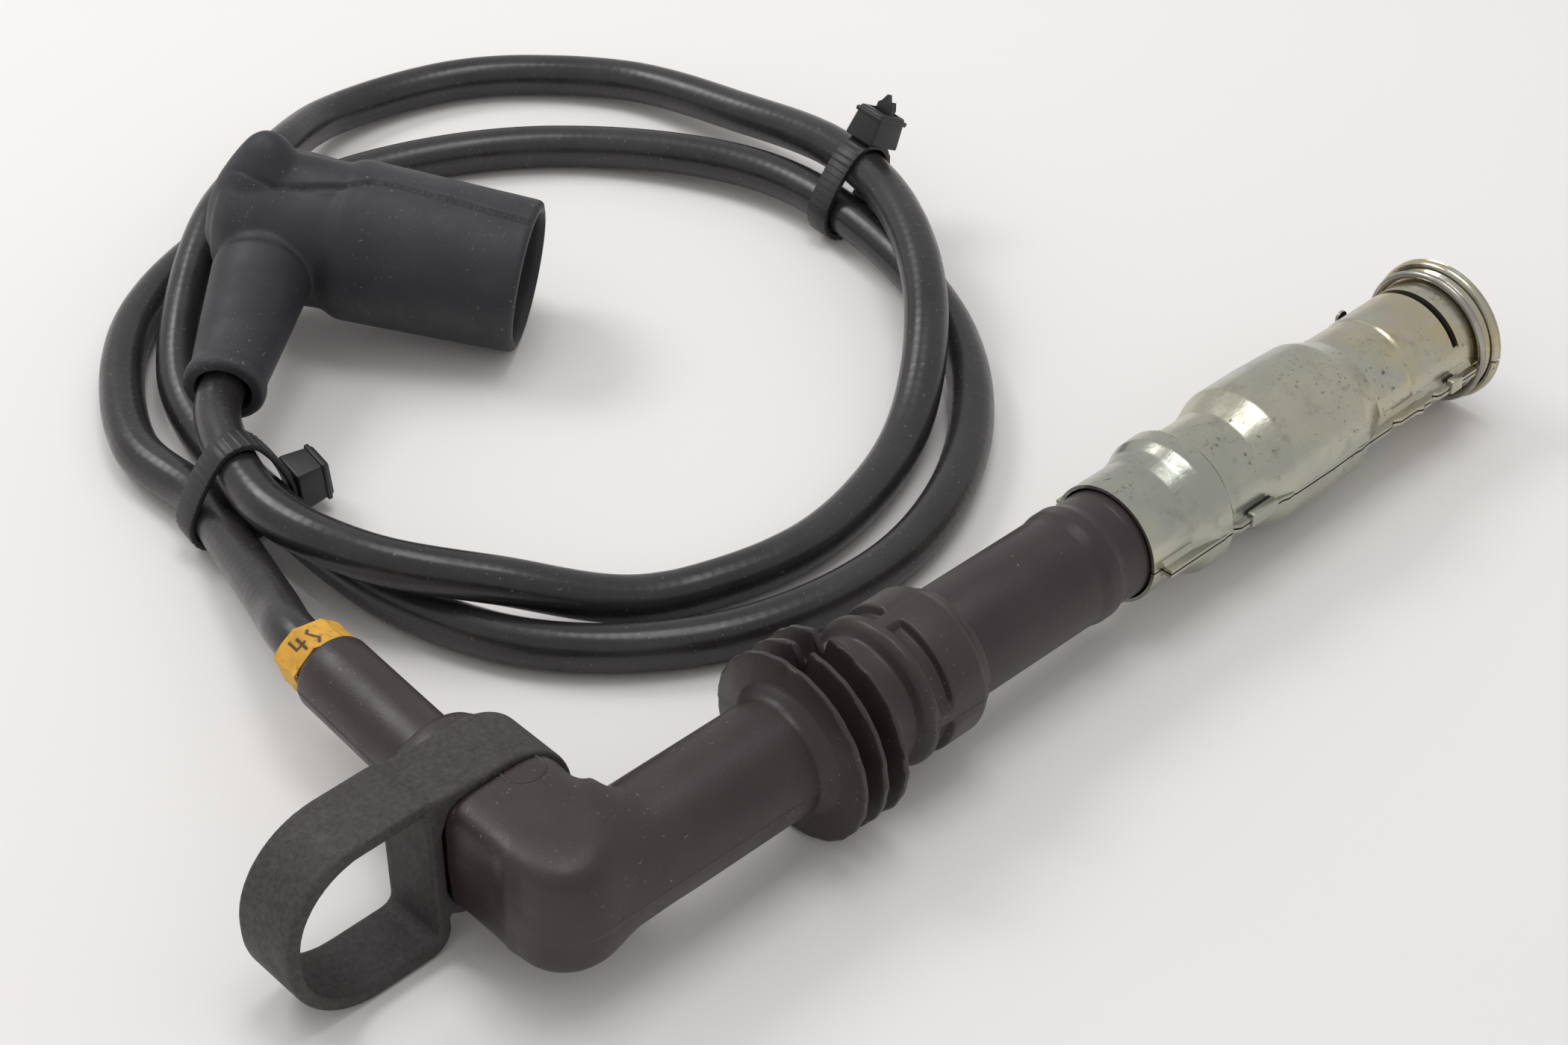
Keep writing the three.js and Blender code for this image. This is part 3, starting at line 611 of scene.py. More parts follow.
def outline_reach(angle):
    """Distance from the pivot to the block's rounded outline in plan, at an angle from -Y to -X."""
    d = np.array([-math.sin(angle), -math.cos(angle)])
    centre = np.array([BLOCK_LEFT + BLOCK_CORNER, BLOCK_FRONT + BLOCK_CORNER])
    reach = min(
        (BLOCK_LEFT - PIVOT[0]) / d[0] if d[0] < -1e-6 else 1e9,
        (BLOCK_FRONT - PIVOT[1]) / d[1] if d[1] < -1e-6 else 1e9,
    )
    hit = PIVOT + d * reach
    if (hit < centre).all():
        f = PIVOT - centre
        b = d @ f
        reach = -b + math.sqrt(b * b - f @ f + BLOCK_CORNER**2)
    return d, reach


for t in np.linspace(0, 1, BLOCK_TURN_STEPS):
    d, far = outline_reach(t * math.pi / 2)
    far += EDGE_LIFT * math.exp(-abs((PIVOT + d * far)[1] - EDGE_Y) / EDGE_WIDTH)
    near = 1.1 + 0.9 * t
    middle = PIVOT + d * (near + far) / 2
    half = (far - near) / 2
    grow = ease(min(1, t / 0.45))
    squarer = ease(min(1, max(0, t - 0.22) / 0.5))
    centre = np.array([*middle, AXIS_HEIGHT - middle[0] * math.sin(TILT)])
    elbow.append(superellipse(
        centre, np.array([*d, 0]), UP,
        (half, half, TUBE_RADIUS + 0.3 * grow, TUBE_RADIUS + 1.4 * grow),
        (2 + 1.5 * grow, 2 + 4.2 * squarer),
    ))

# The boss and the sleeve's root: y, left, right, reach down and up, power of the inner and outer side.
SLEEVE_ROOT = [
    (11.0, -45.0, -27.4, 8.7, 9.8, 3.5, 6.2), (12.4, -45.05, -27.2, 8.7, 9.8, 3.4, 6.2),
    (13.3, -45.2, -27.2, 8.7, 9.8, 3.2, 6.2), (13.5, -45.2, -27.2, 8.6, 9.7, 3.0, 6.0),
    (13.6, -45.1, -27.2, 8.3, 9.4, 2.6, 5.0), (13.65, -44.6, -27.2, 8.3, 8.4, 2.0, 4.0),
    (18.0, -44.6, -27.2, 8.2, 8.2, 2.0, 3.6), (24.0, -44.4, -27.0, 8.2, 8.2, 2.0, 2.8),
    (24.4, -44.6, -26.9, 8.8, 8.8, 2.0, 2.4), (25.2, -44.8, -26.8, 8.9, 8.9, 2.0, 2.2),
    (26.8, -44.7, -26.8, 8.8, 8.8, 2.0, 2.1), (27.9, -44.2, -27.3, 8.4, 8.4, 2.0, 2.0),
    (28.6, -43.2, -28.3, 7.6, 7.6, 2.0, 2.0), (29.0, -41.9, -29.6, 6.4, 6.4, 2.0, 2.0),
    (29.3, -41.3, -30.1, 5.8, 5.8, 2.0, 2.0),
]
for y, left, right, low, high, inner, outer in SLEEVE_ROOT:
    elbow.append(superellipse(
        np.array([(left + right) / 2, y, SLEEVE_HEIGHT]), np.array([-1.0, 0, 0]), UP,
        ((right - left) / 2,) * 2 + (low, high), (inner, outer),
    ))
SLEEVE_PROFILE = [
    (30.2, 5.7), (36, 5.68), (42, 5.66), (48, 5.65), (51.3, 5.65), (51.8, 5.5), (52.0, 5.2),
    (52.0, 4.5), (51.8, 4.1), (51.2, 3.9), (45, 3.9), (30, 3.9), (24, 3.9),
]
for along, r in SLEEVE_PROFILE:
    elbow.append(superellipse(at(SLEEVE, along), *SLEEVE[2:], (r,) * 4, (2, 2)))
elbow_boot = surface("elbow_boot_detailed", np.array(elbow), 60)

MARK = np.array([-33.4, 12.7])
MARK_RADIUS = 2.85
MARK_WIRE = 0.28
MARK_SUNK = 0.17
BOSS_MIDDLE = -36.2
BOSS_HALF = 8.8
BOSS_POWER = 3.5


def half_moon():
    """A raised line round most of a circle on the boss's top, z = top (1 - |x / half|^n)^(1 / n)."""
    turn = np.radians(np.linspace(165, 375, 40))
    x = MARK[0] + MARK_RADIUS * np.cos(turn)
    off = np.clip((x - BOSS_MIDDLE) / BOSS_HALF, 0, 1) ** BOSS_POWER
    height = SLEEVE_HEIGHT - MARK_SUNK + BLOCK_TOP * (1 - off) ** (1 / BOSS_POWER)
    path = np.stack([x, MARK[1] + MARK_RADIUS * np.sin(turn), height], 1)
    return surface("elbow_mark", rings_along(path, MARK_WIRE, 10))


together(elbow_boot, half_moon(), crease=60)
finished(elbow_boot, elbow_brown, "elbow_boot")

# %% [markdown]
# ## The pull strap
#
# A flat rubber band moulded as a figure of eight: one turn grips the boss, the other hangs out as a
# loop for a finger, and they share the web between them. Each turn is a rounded rectangle swept round
# a closed outline. A short piece fills the valley between them on top, and a voxel remesh makes one
# skin of the three, with the small fillets of a moulding.

# %% Pull strap
def rounded_outline(x0, z0, x1, z1, radii, steps=14):
    """A closed rectangle outline with its own radius at each corner, from the lower left on."""
    corners = [(x0, z0, 1, 1, 180), (x1, z0, -1, 1, 270), (x1, z1, -1, -1, 0), (x0, z1, 1, -1, 90)]
    out = []
    for (x, z, sx, sz, first), r in zip(corners, radii):
        a = np.radians(np.linspace(first, first + 90, steps))
        out.append(np.stack([x + sx * r + r * np.cos(a), z + sz * r + r * np.sin(a)], 1))
    return np.vstack(out)


def spaced(outline, count):
    """A closed outline as count evenly spaced points."""
    return even(np.vstack([outline, outline[:1]]), count + 1)[:-1]


def band_rings(outline, wall, width, edge, steps=3, closed=True):
    """Sections of a band along an outline, which is its middle line: rows of (x, z, across),
    rounded by edge at their corners."""
    tangent = np.gradient(outline, axis=0)
    if closed:
        tangent = np.roll(outline, -1, 0) - np.roll(outline, 1, 0)
    tangent /= np.linalg.norm(tangent, axis=1)[:, None]
    normal = np.stack([tangent[:, 1], -tangent[:, 0]], 1)
    section = rounded_outline(-wall / 2, -width / 2, wall / 2, width / 2, [edge] * 4, steps)
    rings = np.empty((len(outline), len(section), 3))
    rings[:, :, :2] = outline[:, None] + section[None, :, :1] * normal[:, None]
    rings[:, :, 2] = section[None, :, 1]
    return rings


STRAP_FRONT = 13.7
STRAP_WIDTH = 10.4
STRAP_WALL = 2.1
LOOP_LEFT = -69.5
LOOP_TOP = 26.8
LOOP_RADIUS = 12.5
STRAP_GAP = 0.3
BOSS_RADIUS = 8.3
BOSS_RIGHT = -27
BOSS_CORNER = 4
half_wall = STRAP_WALL / 2
out = STRAP_GAP + half_wall
ring_outline = spaced(rounded_outline(
    BLOCK_LEFT - out, SLEEVE_HEIGHT - BOSS_RADIUS - out,
    BOSS_RIGHT + out, SLEEVE_HEIGHT + BOSS_RADIUS + out,
    [BOSS_CORNER + out, BOSS_RADIUS + out, BOSS_RADIUS + out, BOSS_CORNER + out],
), 150)
loop_outline = spaced(rounded_outline(
    LOOP_LEFT + half_wall, half_wall, BLOCK_LEFT - out, LOOP_TOP - half_wall,
    [LOOP_RADIUS - half_wall, 2.6, 2.2, LOOP_RADIUS - half_wall],
), 190)


def strap_band(name, outline, width, closed):
    """A rubber band along an outline of (x, z) rows, centred across on the strap's middle."""
    rings = band_rings(outline, STRAP_WALL, width, 0.5, 4, closed)
    across = STRAP_FRONT + STRAP_WIDTH / 2 + rings[..., 2]
    return surface(name, np.stack([rings[..., 0], across, rings[..., 1]], -1), along=closed)


strap_ring = strap_band("pull_strap_ring", ring_outline, STRAP_WIDTH, True)
strap_loop = strap_band("pull_strap_loop", loop_outline, STRAP_WIDTH, True)
BRIDGE = np.array([
    [-55, 25.75], [-51, 25.75], [-48.4, 25.66], [-47, 25.3], [-46.2, 25.02], [-45.4, 25.0],
    [-43.5, 24.85], [-41, 24.6], [-38, 24.45], [-35, 24.43],
])
bridge = strap_band("pull_strap_bridge", BRIDGE, STRAP_WIDTH - 0.1, False)


def modifier(piece, kind, **settings):
    """Adds a modifier with these settings."""
    added = piece.modifiers.new(kind.lower(), kind)
    for key, value in settings.items():
        setattr(added, key, value)


def applied(piece):
    """The piece's mesh as its modifiers leave it."""
    mesh = bpy.data.meshes.new_from_object(
        piece.evaluated_get(bpy.context.evaluated_depsgraph_get()))
    piece.modifiers.clear()
    piece.data = mesh
    return piece


def one_skin(piece, voxel, smoothing):
    """Overlapping closed shells as one, by a voxel remesh and a little smoothing."""
    modifier(piece, "REMESH", mode="VOXEL", voxel_size=voxel / 1000, use_smooth_shade=True)
    modifier(piece, "SMOOTH", factor=0.5, iterations=smoothing)
    return applied(piece)


pull_strap = together(strap_loop, strap_ring, bridge)
pull_strap.name = "pull_strap_detailed"
one_skin(pull_strap, 0.32, 3)
finished(pull_strap, strap_grey, "pull_strap")

# %% [markdown]
# ## The insulating tube
#
# A hard moulded tube: its neck is hidden in the rubber, its body shows between the collar and the
# shield, and inside the shield it ends in a wide socket for the spark plug.

# %% Insulating tube
tube_profile = rounded([
    (12, 3.7), (12, 6.2), (28.6, 6.2), (28.6, 8.4), (51.5, 8.4), (53.2, 8.75), (55.2, 8.75),
    (56.7, 8.2), (59.6, 8.15), (60.0, 8.25), (111.5, 8.2), (111.5, 6.8), (84, 6.8), (84, 3.6),
    (40, 3.6),
], 0.25, 3)
connector_tube = surface("connector_tube_detailed", lathe(CONNECTOR, tube_profile))
finished(connector_tube, insulator_brown, "connector_tube")

# %% [markdown]
# ## The sheet-metal shield
#
# Two pressed halves of zinc-plated steel close over the tube. Their edges turn out into flanges, and
# the lower half's tabs fold over the upper one's. A half's section runs along the outer side of the
# sheet, round its edge and back along the inner side, so the sheet has its real thickness.

# %% Shield halves
SHEET = 0.5
SEAM_GAP = 0.15
FLANGE_REACH = 10.8
FLANGE_FILLET = 0.8
SHIELD_OUTLINE = [
    (61.3, 9.1), (69, 9.1), (71.5, 9.7), (73.5, 10.6), (76.4, 10.7), (77.6, 9.35), (85.3, 9.35),
    (87.5, 10.2), (90, 11.1), (98, 11.1), (107, 10.8), (111.5, 9.1), (119, 9.05), (119.6, 8.9),
    (120.2, 9.2), (129.5, 9.3), (134.8, 9.3), (136.4, 9.8), (138.2, 11.4),
]
shield_profile = rounded(SHIELD_OUTLINE, 0.3, 4)
FLANGE_SPAN = (63.0, 133.0)
# Nicks and spikes of the flange's edge: station, half length and reach.
FLANGE_NOTCHES = [(76.5, 1.6, -0.9), (92.5, 1.2, -0.7), (88.6, 1.4, 0.35), (105.0, 1.8, 0.3),
                  (113.5, 1.2, -0.6), (123.0, 1.0, -0.8), (119.5, 1.0, 0.45)]


def flange_reach(station):
    """The flange's edge along the shield, as ragged as the press left it."""
    first, last = FLANGE_SPAN
    if not first <= station <= last:
        return 0.0
    return FLANGE_REACH + sum(
        depth * max(0.0, 1 - abs(station - where) / half) for where, half, depth in FLANGE_NOTCHES)


SLIT_STATION = 130.4
SLIT_HALF = 0.6
SLIT_DEPTH = 1.3
SLIT_ANGLES = (27, 152)


def slit(angles, station, side):
    """How deep the arc slit in the upper half is sunk: SLIT_DEPTH between its two ends."""
    if side < 0 or abs(station - SLIT_STATION) > SLIT_HALF:
        return 0 * angles
    middle, half = np.mean(SLIT_ANGLES), np.ptp(SLIT_ANGLES) / 2
    return SLIT_DEPTH * np.clip((half - np.abs(np.degrees(angles) - middle)) / 4, 0, 1)


def sheet_arc(radius, first, last, station, side):
    """One side of the sheet between two angles, with the slit."""
    a = np.linspace(first, last, 73)
    return (radius - slit(a, station, side))[:, None] * np.stack([np.cos(a), np.sin(a)], 1)


def half_section(radius, reach, side, station):
    """(across, up) points of a half shell with flanges: outer side, edge and inner side."""
    low = SEAM_GAP
    high = SEAM_GAP + SHEET
    inner = radius - SHEET
    reach = max(reach, radius + 0.02)
    start = math.asin(min(0.9, (high + FLANGE_FILLET) / (radius + FLANGE_FILLET)))
    over = sheet_arc(radius, start, math.pi - start, station, side)
    lower = math.asin(min(0.9, low / inner))
    under = sheet_arc(inner, math.pi - lower, lower, station, side)
    bend = radius + min(0.5, max(0.0, reach - radius) * 0.3)
    right = [(reach, low), (reach, high), ((reach + bend) / 2, high), (bend, high)]
    left = [(-bend, high), (-(reach + bend) / 2, high), (-reach, high), (-reach, low)]
    rows = np.vstack([right, over, left, under])
    rows[:, 1] *= side
    return rows


def shield_half(name, side):
    """The upper half for side 1 and the lower one for -1."""
    first, last = FLANGE_SPAN
    stations = np.unique(np.round(np.concatenate([
        shield_profile[:, 0], np.arange(62, 138, 0.6),
        [first - 0.05, first, last, last + 0.05],
        SLIT_STATION + SLIT_HALF * np.array([-1.08, -1, -0.5, 0, 0.5, 1, 1.08]),
    ]), 3))
    radii = np.interp(stations, shield_profile[:, 0], shield_profile[:, 1])
    rings = [
        at(CONNECTOR, s, *half_section(r, flange_reach(s), side, s).T)
        for s, r in zip(stations, radii)
    ]
    return surface(name, rings, 30, ends="flat")


BEAD_STATION = 137.6
BEAD_RADIUS = 10.65
BEAD_WIRE = 0.75


def bead(side):
    """Half of the rolled rim: a round section carried along half a circle."""
    turn = np.radians(np.linspace(0.8, 179.2, 60)) * side
    path = at(CONNECTOR, BEAD_STATION, BEAD_RADIUS * np.cos(turn), BEAD_RADIUS * np.sin(turn))
    return surface("bead", rings_along(path, BEAD_WIRE, 12))


def box_piece(name, place, low, high, edge, taper=1.0):
    """A box with bevelled edges in a place's axes; its far end along x is taper times as large."""
    x0, y0, z0 = low
    x1, y1, z1 = high
    corners = [(x, y, z) for z in (z0, z1) for x, y in ((x0, y0), (x1, y0), (x1, y1), (x0, y1))]
    points = np.array([
        at(place, x, *((y, z) if x == x0 else (y * taper, z * taper))) for x, y, z in corners])
    faces = [(3, 2, 1, 0), (4, 5, 6, 7), (0, 1, 5, 4), (1, 2, 6, 5), (2, 3, 7, 6), (3, 0, 4, 7)]
    piece = new_object(name, points, faces)
    if np.linalg.det(np.stack(place[1:])) < 0:
        piece.data.flip_normals()
    modifier(piece, "BEVEL", width=edge / 1000, segments=3, limit_method="NONE")
    return applied(piece)


def combined(operation, piece, *others):
    """The piece after a boolean operation with each of the others, which are used up."""
    for other in others:
        modifier(piece, "BOOLEAN", operation=operation, object=other, solver="EXACT")
        applied(piece)
        bpy.data.objects.remove(other)
    return piece


NEAR_EDGE = -10.9
FAR_EDGE = 10.9
TAB_HALF = 0.35
TAB_LOW = -0.95
TAB_HIGH = 1.3


def folded_tab(start, end, edge):
    """A tab of the lower half folded over the flange: from below, round the edge, onto its top."""
    near, far = sorted([edge, edge * 0.93])
    return box_piece("tab", CONNECTOR, (start, near - TAB_HALF, TAB_LOW),
                     (end, far + TAB_HALF, TAB_HIGH), 0.3)


EAR_STATION = 127.6
EAR_HEIGHT = 1.3


def ear():
    """A small round ear that stands on the far flange."""
    place = (at(CONNECTOR, EAR_STATION, FAR_EDGE, EAR_HEIGHT), CONNECTOR[2], CONNECTOR[1], CONNECTOR[3])
    return surface("ear", lathe(place, [
        (-0.3, 0.7), (-0.3, 1.05), (-0.2, 1.15), (0.2, 1.15), (0.3, 1.05), (0.3, 0.7),
    ], 20))


def unshaded_outside(f):
    """1 where the sheet faces away from the connector's axis and 0 where it faces the axis, by the
    sign of the face's normal along the line out from the axis, and 0 down in the slit. The 0s take
    painted shade: a near-black colour stands for the shade inside the shield and in the slit."""
    ahead = CONNECTOR[1].tolist()
    offset = f.vector("SUBTRACT", f.coordinates, metres(CONNECTOR[0]).tolist())
    along = f.vector("DOT_PRODUCT", offset, ahead, "Value")
    outward = f.vector("SUBTRACT", offset, f.vector("SCALE", ahead, along))
    normal = f.node("NewGeometry").outputs["True Normal"]
    facing = f.vector("DOT_PRODUCT", outward, normal, "Value")
    radius = f.vector("LENGTH", outward, output="Value")
    off = f.math("ABSOLUTE", f.math("SUBTRACT", along, SLIT_STATION / 1000))
    slit_shade = f.math("MULTIPLY", f.ramp(off, 0.0007, 0.0006), f.ramp(radius, 0.0091, 0.0089))
    return f.math("MULTIPLY", f.ramp(facing, -0.003, -0.001), f.math("SUBTRACT", 1.0, slit_shade))


# Yellow, pink and blue near the mouth: noise scale and detail, its range, strength and colour.
HEAT_TINTS = [
    (110, 4, 0.42, 0.62, 0.75, (190, 174, 134)),
    (85, 3, 0.54, 0.66, 0.6, (190, 164, 164)),
    (130, 2, 0.6, 0.7, 0.55, (156, 168, 184)),
]


def zinc():
    """Dull zinc: grey-green with yellowish stains, warmer and bluer tints near the mouth, specks of
    black dirt and fine scratches across the rolling direction. The sheet's inner side and the floor of
    the slit are painted shade, near black."""
    f = Finish("zinc_sheet")
    stain = f.ramp(f.noise(45, 4), 0.38, 0.64)
    colour = f.mix(stain, srgb(166, 169, 160), srgb(192, 189, 170))
    x = f.node("SeparateXYZ", [(0, f.coordinates)]).outputs[0]
    mouth = f.ramp(x, 0.068, 0.096)
    for scale, detail, low, high, most, tint in HEAT_TINTS:
        here = f.math("MULTIPLY", mouth, f.ramp(f.noise(scale, detail), low, high, 0, most))
        colour = f.mix(here, colour, srgb(*tint))
    smear = f.ramp(f.noise(160, 8, 0.75), 0.54, 0.72, 0, 0.55)
    colour = f.mix(smear, colour, srgb(122, 114, 98))
    dirt = f.ramp(f.noise(900, 6, 0.75), 0.58, 0.66)
    dirt = f.math("MULTIPLY", dirt, f.ramp(f.noise(60, 3), 0.46, 0.6))
    colour = f.mix(f.math("MULTIPLY", dirt, 0.85), colour, srgb(48, 42, 34))
    # Painted shade: the sheet's inner side and the slit's floor take a near-black, rough colour for the
    # shade inside the shield.
    outside = unshaded_outside(f)
    colour = f.mix(outside, srgb(38, 35, 32), colour)
    roughness = f.ramp(f.noise(160, 5), 0.3, 0.7, 0.16, 0.32)
    roughness = f.ramp(outside, 0, 1, 0.75, roughness)
    normal = f.bump(f.noise(900, 5), 0.00008, 0.35)
    normal = f.bump(f.noise(160, 4), 0.0003, 0.15, normal)
    normal = f.bump(f.noise(300, 3, 0.6, (0.3, 6, 6)), 0.00006, 0.4, normal)
    return f.shade(Base_Color=colour, Metallic=0.95, Roughness=roughness, Normal=normal)


zinc_sheet = zinc()
upper_half = together(shield_half("shield_upper_detailed", 1), bead(1), ear(), crease=30)
lower_half = together(
    shield_half("shield_lower_detailed", -1), bead(-1),
    folded_tab(80.2, 85.8, NEAR_EDGE), folded_tab(126.6, 129.2, NEAR_EDGE),
    folded_tab(80.2, 85.8, FAR_EDGE), crease=30)
finished(upper_half, zinc_sheet, "shield_upper_half")
finished(lower_half, zinc_sheet, "shield_lower_half")

# %% [markdown]
# ## The spring ring
#
# A ring of spring wire near the mouth presses the shield's sprung end on the plug's hexagon.

# %% Spring ring
def metal(name, colour, second, low, high):
    """Bare metal of two close shades, its roughness between low and high."""
    f = Finish(name)
    mixed = f.mix(f.ramp(f.noise(200, 4), 0.35, 0.65), srgb(*colour), srgb(*second))
    roughness = f.ramp(f.noise(400, 3), 0.3, 0.7, low, high)
    normal = f.bump(f.noise(1500, 3), 0.00005, 0.4)
    return f.shade(Base_Color=mixed, Metallic=1.0, Roughness=roughness, Normal=normal)


spring_steel = metal("spring_steel", (178, 175, 168), (150, 146, 140), 0.2, 0.35)
brass = metal("brass", (190, 152, 92), (165, 128, 74), 0.25, 0.4)
RING_STATION = 135.0
RING_RADIUS = 10.2
RING_WIRE = 0.6
wire = turn_angles(12)
reach = RING_RADIUS + RING_WIRE * np.sin(wire)
spring_ring = surface("spring_ring_detailed", [
    at(CONNECTOR, RING_STATION + RING_WIRE * np.cos(wire), reach * math.cos(a), reach * math.sin(a))
    for a in turn_angles(120)
], along=True)
finished(spring_ring, spring_steel, "shield_retaining_ring")

# %% [markdown]
# ## The coil boot
#
# Soft grey rubber: a wide barrel that goes over the coil's tower, a closed corner with a raised hump
# where the mould let the terminal in, and a tapered leg with a lip for the cable. The solids are
# remeshed as one so that the rubber flows from one into the next, and the mould's parting line is
# then pressed into the skin.

# %% Coil boot
def turned_piece(name, place, profile):
    """A closed body of revolution with softened corners."""
    return surface(name, lathe(place, rounded(profile, 0.8, 4), 72))


barrel = turned_piece("coil_boot_detailed", BARREL, [
    (-9.5, 0.3), (-9.4, 6.0), (-8.4, 8.6), (-6.3, 10.6), (-2, 11.9), (4, 11.9), (9.3, 11.5),
    (11.6, 12.65), (20, 12.5), (BARREL_LENGTH, MOUTH_RADIUS), (BARREL_LENGTH, 0.3),
])
HUMP = (at(BARREL, -2.3), BARREL[3], BARREL[1], BARREL[2])
hump = turned_piece("hump", HUMP, [
    (-3, 0.3), (-3, 9.3), (3, 8.8), (7, 7.6), (10, 6.1), (12.4, 4.7), (14.5, 3.3), (15.8, 1.9),
    (16.4, 0.2),
])
SADDLE = (at(BARREL, 0, 0, 6), *BARREL[1:])
saddle = turned_piece("saddle", SADDLE, [
    (-6, 0.3), (-5.6, 4), (-2, 6.5), (4, 6.6), (9, 6.5), (12.5, 6.3), (14, 0.3),
])
leg = turned_piece("leg", LEG, [
    (-3, 0.3), (-3, 8), (2, 7.7), (11.2, 7.2), (12.0, 7.75), (12.8, 7.7), (33.2, 5.9), (34.2, 5.85),
    (34.9, 6.3), (36.6, 6.3), (LEG_LENGTH, 5.9), (LEG_LENGTH, 0.3),
])
coil_boot = together(barrel, hump, saddle, leg)
one_skin(coil_boot, 0.35, 8)

# The parting line's place round the barrel, in degrees from its side, at each station in mm.
PARTING = np.array([
    [-8, 104], [-6.3, 106.5], [-2.9, 112.5], [0.1, 114.7], [5.4, 109.8], [9, 105], [11.7, 101],
    [15, 93], [19, 92], [27.1, 93.8], [33.8, 96.2], [41, 98.2],
])


def parted(piece):
    """Lifts the rubber behind the parting line a little, and sinks a crease along it."""
    mesh = piece.data
    flat = np.empty(len(mesh.vertices) * 3)
    mesh.vertices.foreach_get("co", flat)
    points = flat.reshape(-1, 3) * 1000 - FIRST_FIN
    local = (points - BARREL[0]) @ np.stack(BARREL[1:], 1)
    station, across, up = local.T
    radius = np.hypot(across, up)
    angle = np.degrees(np.arctan2(up, across))
    line = np.interp(station, PARTING[:, 0], PARTING[:, 1])
    off = np.radians(line - angle) * radius
    here = (station > -9) & (station < BARREL_LENGTH - 0.3) & (angle > 30) & (angle < 150)
    lift = 0.3 * np.clip(0.5 + off / 0.7, 0, 1) * np.clip((26 - off) / 12, 0, 1)
    crease = 0.42 * np.exp(-((off + 0.1) / 0.38) ** 2)
    move = np.where(here, lift - crease, 0) * np.clip((station + 9) / 4, 0, 1)
    outward = across[:, None] * BARREL[2] + up[:, None] * BARREL[3]
    moved = points + move[:, None] * outward / np.maximum(radius, 1)[:, None]
    mesh.vertices.foreach_set("co", metres(moved).ravel())
    mesh.update()


parted(coil_boot)
combined(
    "DIFFERENCE", coil_boot,
    turned_piece("bore", BARREL, [
        (6.3, 0.3), (6.3, 9.0), (8, 9.6), (BARREL_LENGTH - 0.8, 10.1), (BARREL_LENGTH + 0.6, 10.9),
        (BARREL_LENGTH + 1.2, 10.9), (BARREL_LENGTH + 1.2, 0.3),
    ]),
    turned_piece("leg_bore", LEG, [
        (LEG_LENGTH - 27, 0.3), (LEG_LENGTH - 27, 4.1), (LEG_LENGTH - 0.4, 4.1),
        (LEG_LENGTH + 0.5, 4.9), (LEG_LENGTH + 1, 4.9), (LEG_LENGTH + 1, 0.3),
    ]),
)
finished(smoothed(coil_boot, 40), boot_grey, "coil_boot")

# %% [markdown]
# ## The marker band
#
# A scrap of yellow tape stuck round the cable just beyond the sleeve, creased where it was pressed
# flat, with a few strokes of a pen on it.

# %% Marker band
def yellow_tape():
    """Yellow paper tape, greasy in places; the attribute ink says where the pen went."""
    f = Finish("yellow_tape")
    colour = f.mix(f.ramp(f.noise(300, 4), 0.35, 0.7), srgb(222, 168, 58), srgb(196, 144, 50))
    colour = f.mix(f.ramp(f.noise(900, 3), 0.58, 0.7, 0, 0.6), colour, srgb(146, 104, 42))
    ink = f.node("Attribute", attribute_name="ink").outputs["Fac"]
    colour = f.mix(f.math("MULTIPLY", ink, 0.9), colour, srgb(40, 32, 26))
    normal = f.bump(f.noise(500, 4), 0.0004, 0.4)
    return f.shade(Base_Color=colour, Roughness=0.6, Normal=normal)


tape = yellow_tape()
BAND_START = SLEEVE_LENGTH + 0.4
BAND_WIDTH = 5.0
FACETS = np.radians([-14, 44, 96, 133, 190, 243, 300])
FACET_REACH = np.array([4.75, 4.7, 4.55, 4.8, 4.6, 4.6, 4.7])
STROKES = [
    [(48, 3.9), (48, 2.1), (66, 2.0)], [(61, 3.2), (61, 0.9)],
    [(84, 3.9), (78, 3.2), (84, 2.4), (90, 1.7), (84, 1.0)],
]
PEN = 0.24
TAPE_RADIUS = 4.9
TAPE_LIMIT = 5.35
TAPE_WALL = 0.4


def band_reach(turn):
    """The crushed tape's outline: the nearest of seven flat facets, with its corners cut round."""
    off = np.cos(turn[:, None] - FACETS)
    flat = np.where(off > 0.3, FACET_REACH / np.maximum(off, 0.3), 99).min(1)
    return np.minimum(flat, TAPE_LIMIT)


def ink_at(turn, along):
    """1 where the pen's strokes, chains of straight pieces in degrees and millimetres, pass."""
    x = np.degrees(turn) * math.radians(TAPE_RADIUS)
    nearest = np.full(np.broadcast(x, along).shape, 9.0)
    for stroke in STROKES:
        rows = np.array(stroke) * [math.radians(TAPE_RADIUS), 1]
        for a, b in zip(rows[:-1], rows[1:]):
            d = b - a
            t = np.clip(((x - a[0]) * d[0] + (along - a[1]) * d[1]) / (d @ d), 0, 1)
            nearest = np.minimum(nearest, np.hypot(x - a[0] - t * d[0], along - a[1] - t * d[1]))
    return np.clip((PEN - nearest) / 0.1 + 0.5, 0, 1)


turn = turn_angles(300)[:, None]
across = np.concatenate([np.linspace(0, BAND_WIDTH, 46), [BAND_WIDTH, 0]])[None]
wall = np.concatenate([np.zeros(46), [TAPE_WALL, TAPE_WALL]])[None]
reach = band_reach(turn[:, 0])[:, None] - wall + 0.05 * np.sin(6 * turn + 2.1 * across)
skew = 0.25 * np.sin(turn + 1) + 0.2 * np.sin(3 * turn)
marker_band = surface("marker_band_detailed", at(
    SLEEVE, BAND_START + across + skew, reach * np.cos(turn), reach * np.sin(turn)), 22, along=True)
ink = marker_band.data.attributes.new("ink", "FLOAT", "POINT")
ink.data.foreach_set("value", np.where(wall > 0, 0, ink_at(turn, across)).ravel())
finished(marker_band, tape, "marker_band")

# %% [markdown]
# ## The cable ties
#
# Each tie is a nylon strap pulled round the strands that it holds. The strap takes the shortest way
# round them, so in every direction it lies one cable radius and a little slack outside the strand
# that reaches furthest. Its head holds the tail, which is torn off close to it.

# %% Cable ties
TIE_WIDTH = 4.5
TIE_THICKNESS = 0.9
TIE_STEPS = 260
TIE_SLACK = 0.35
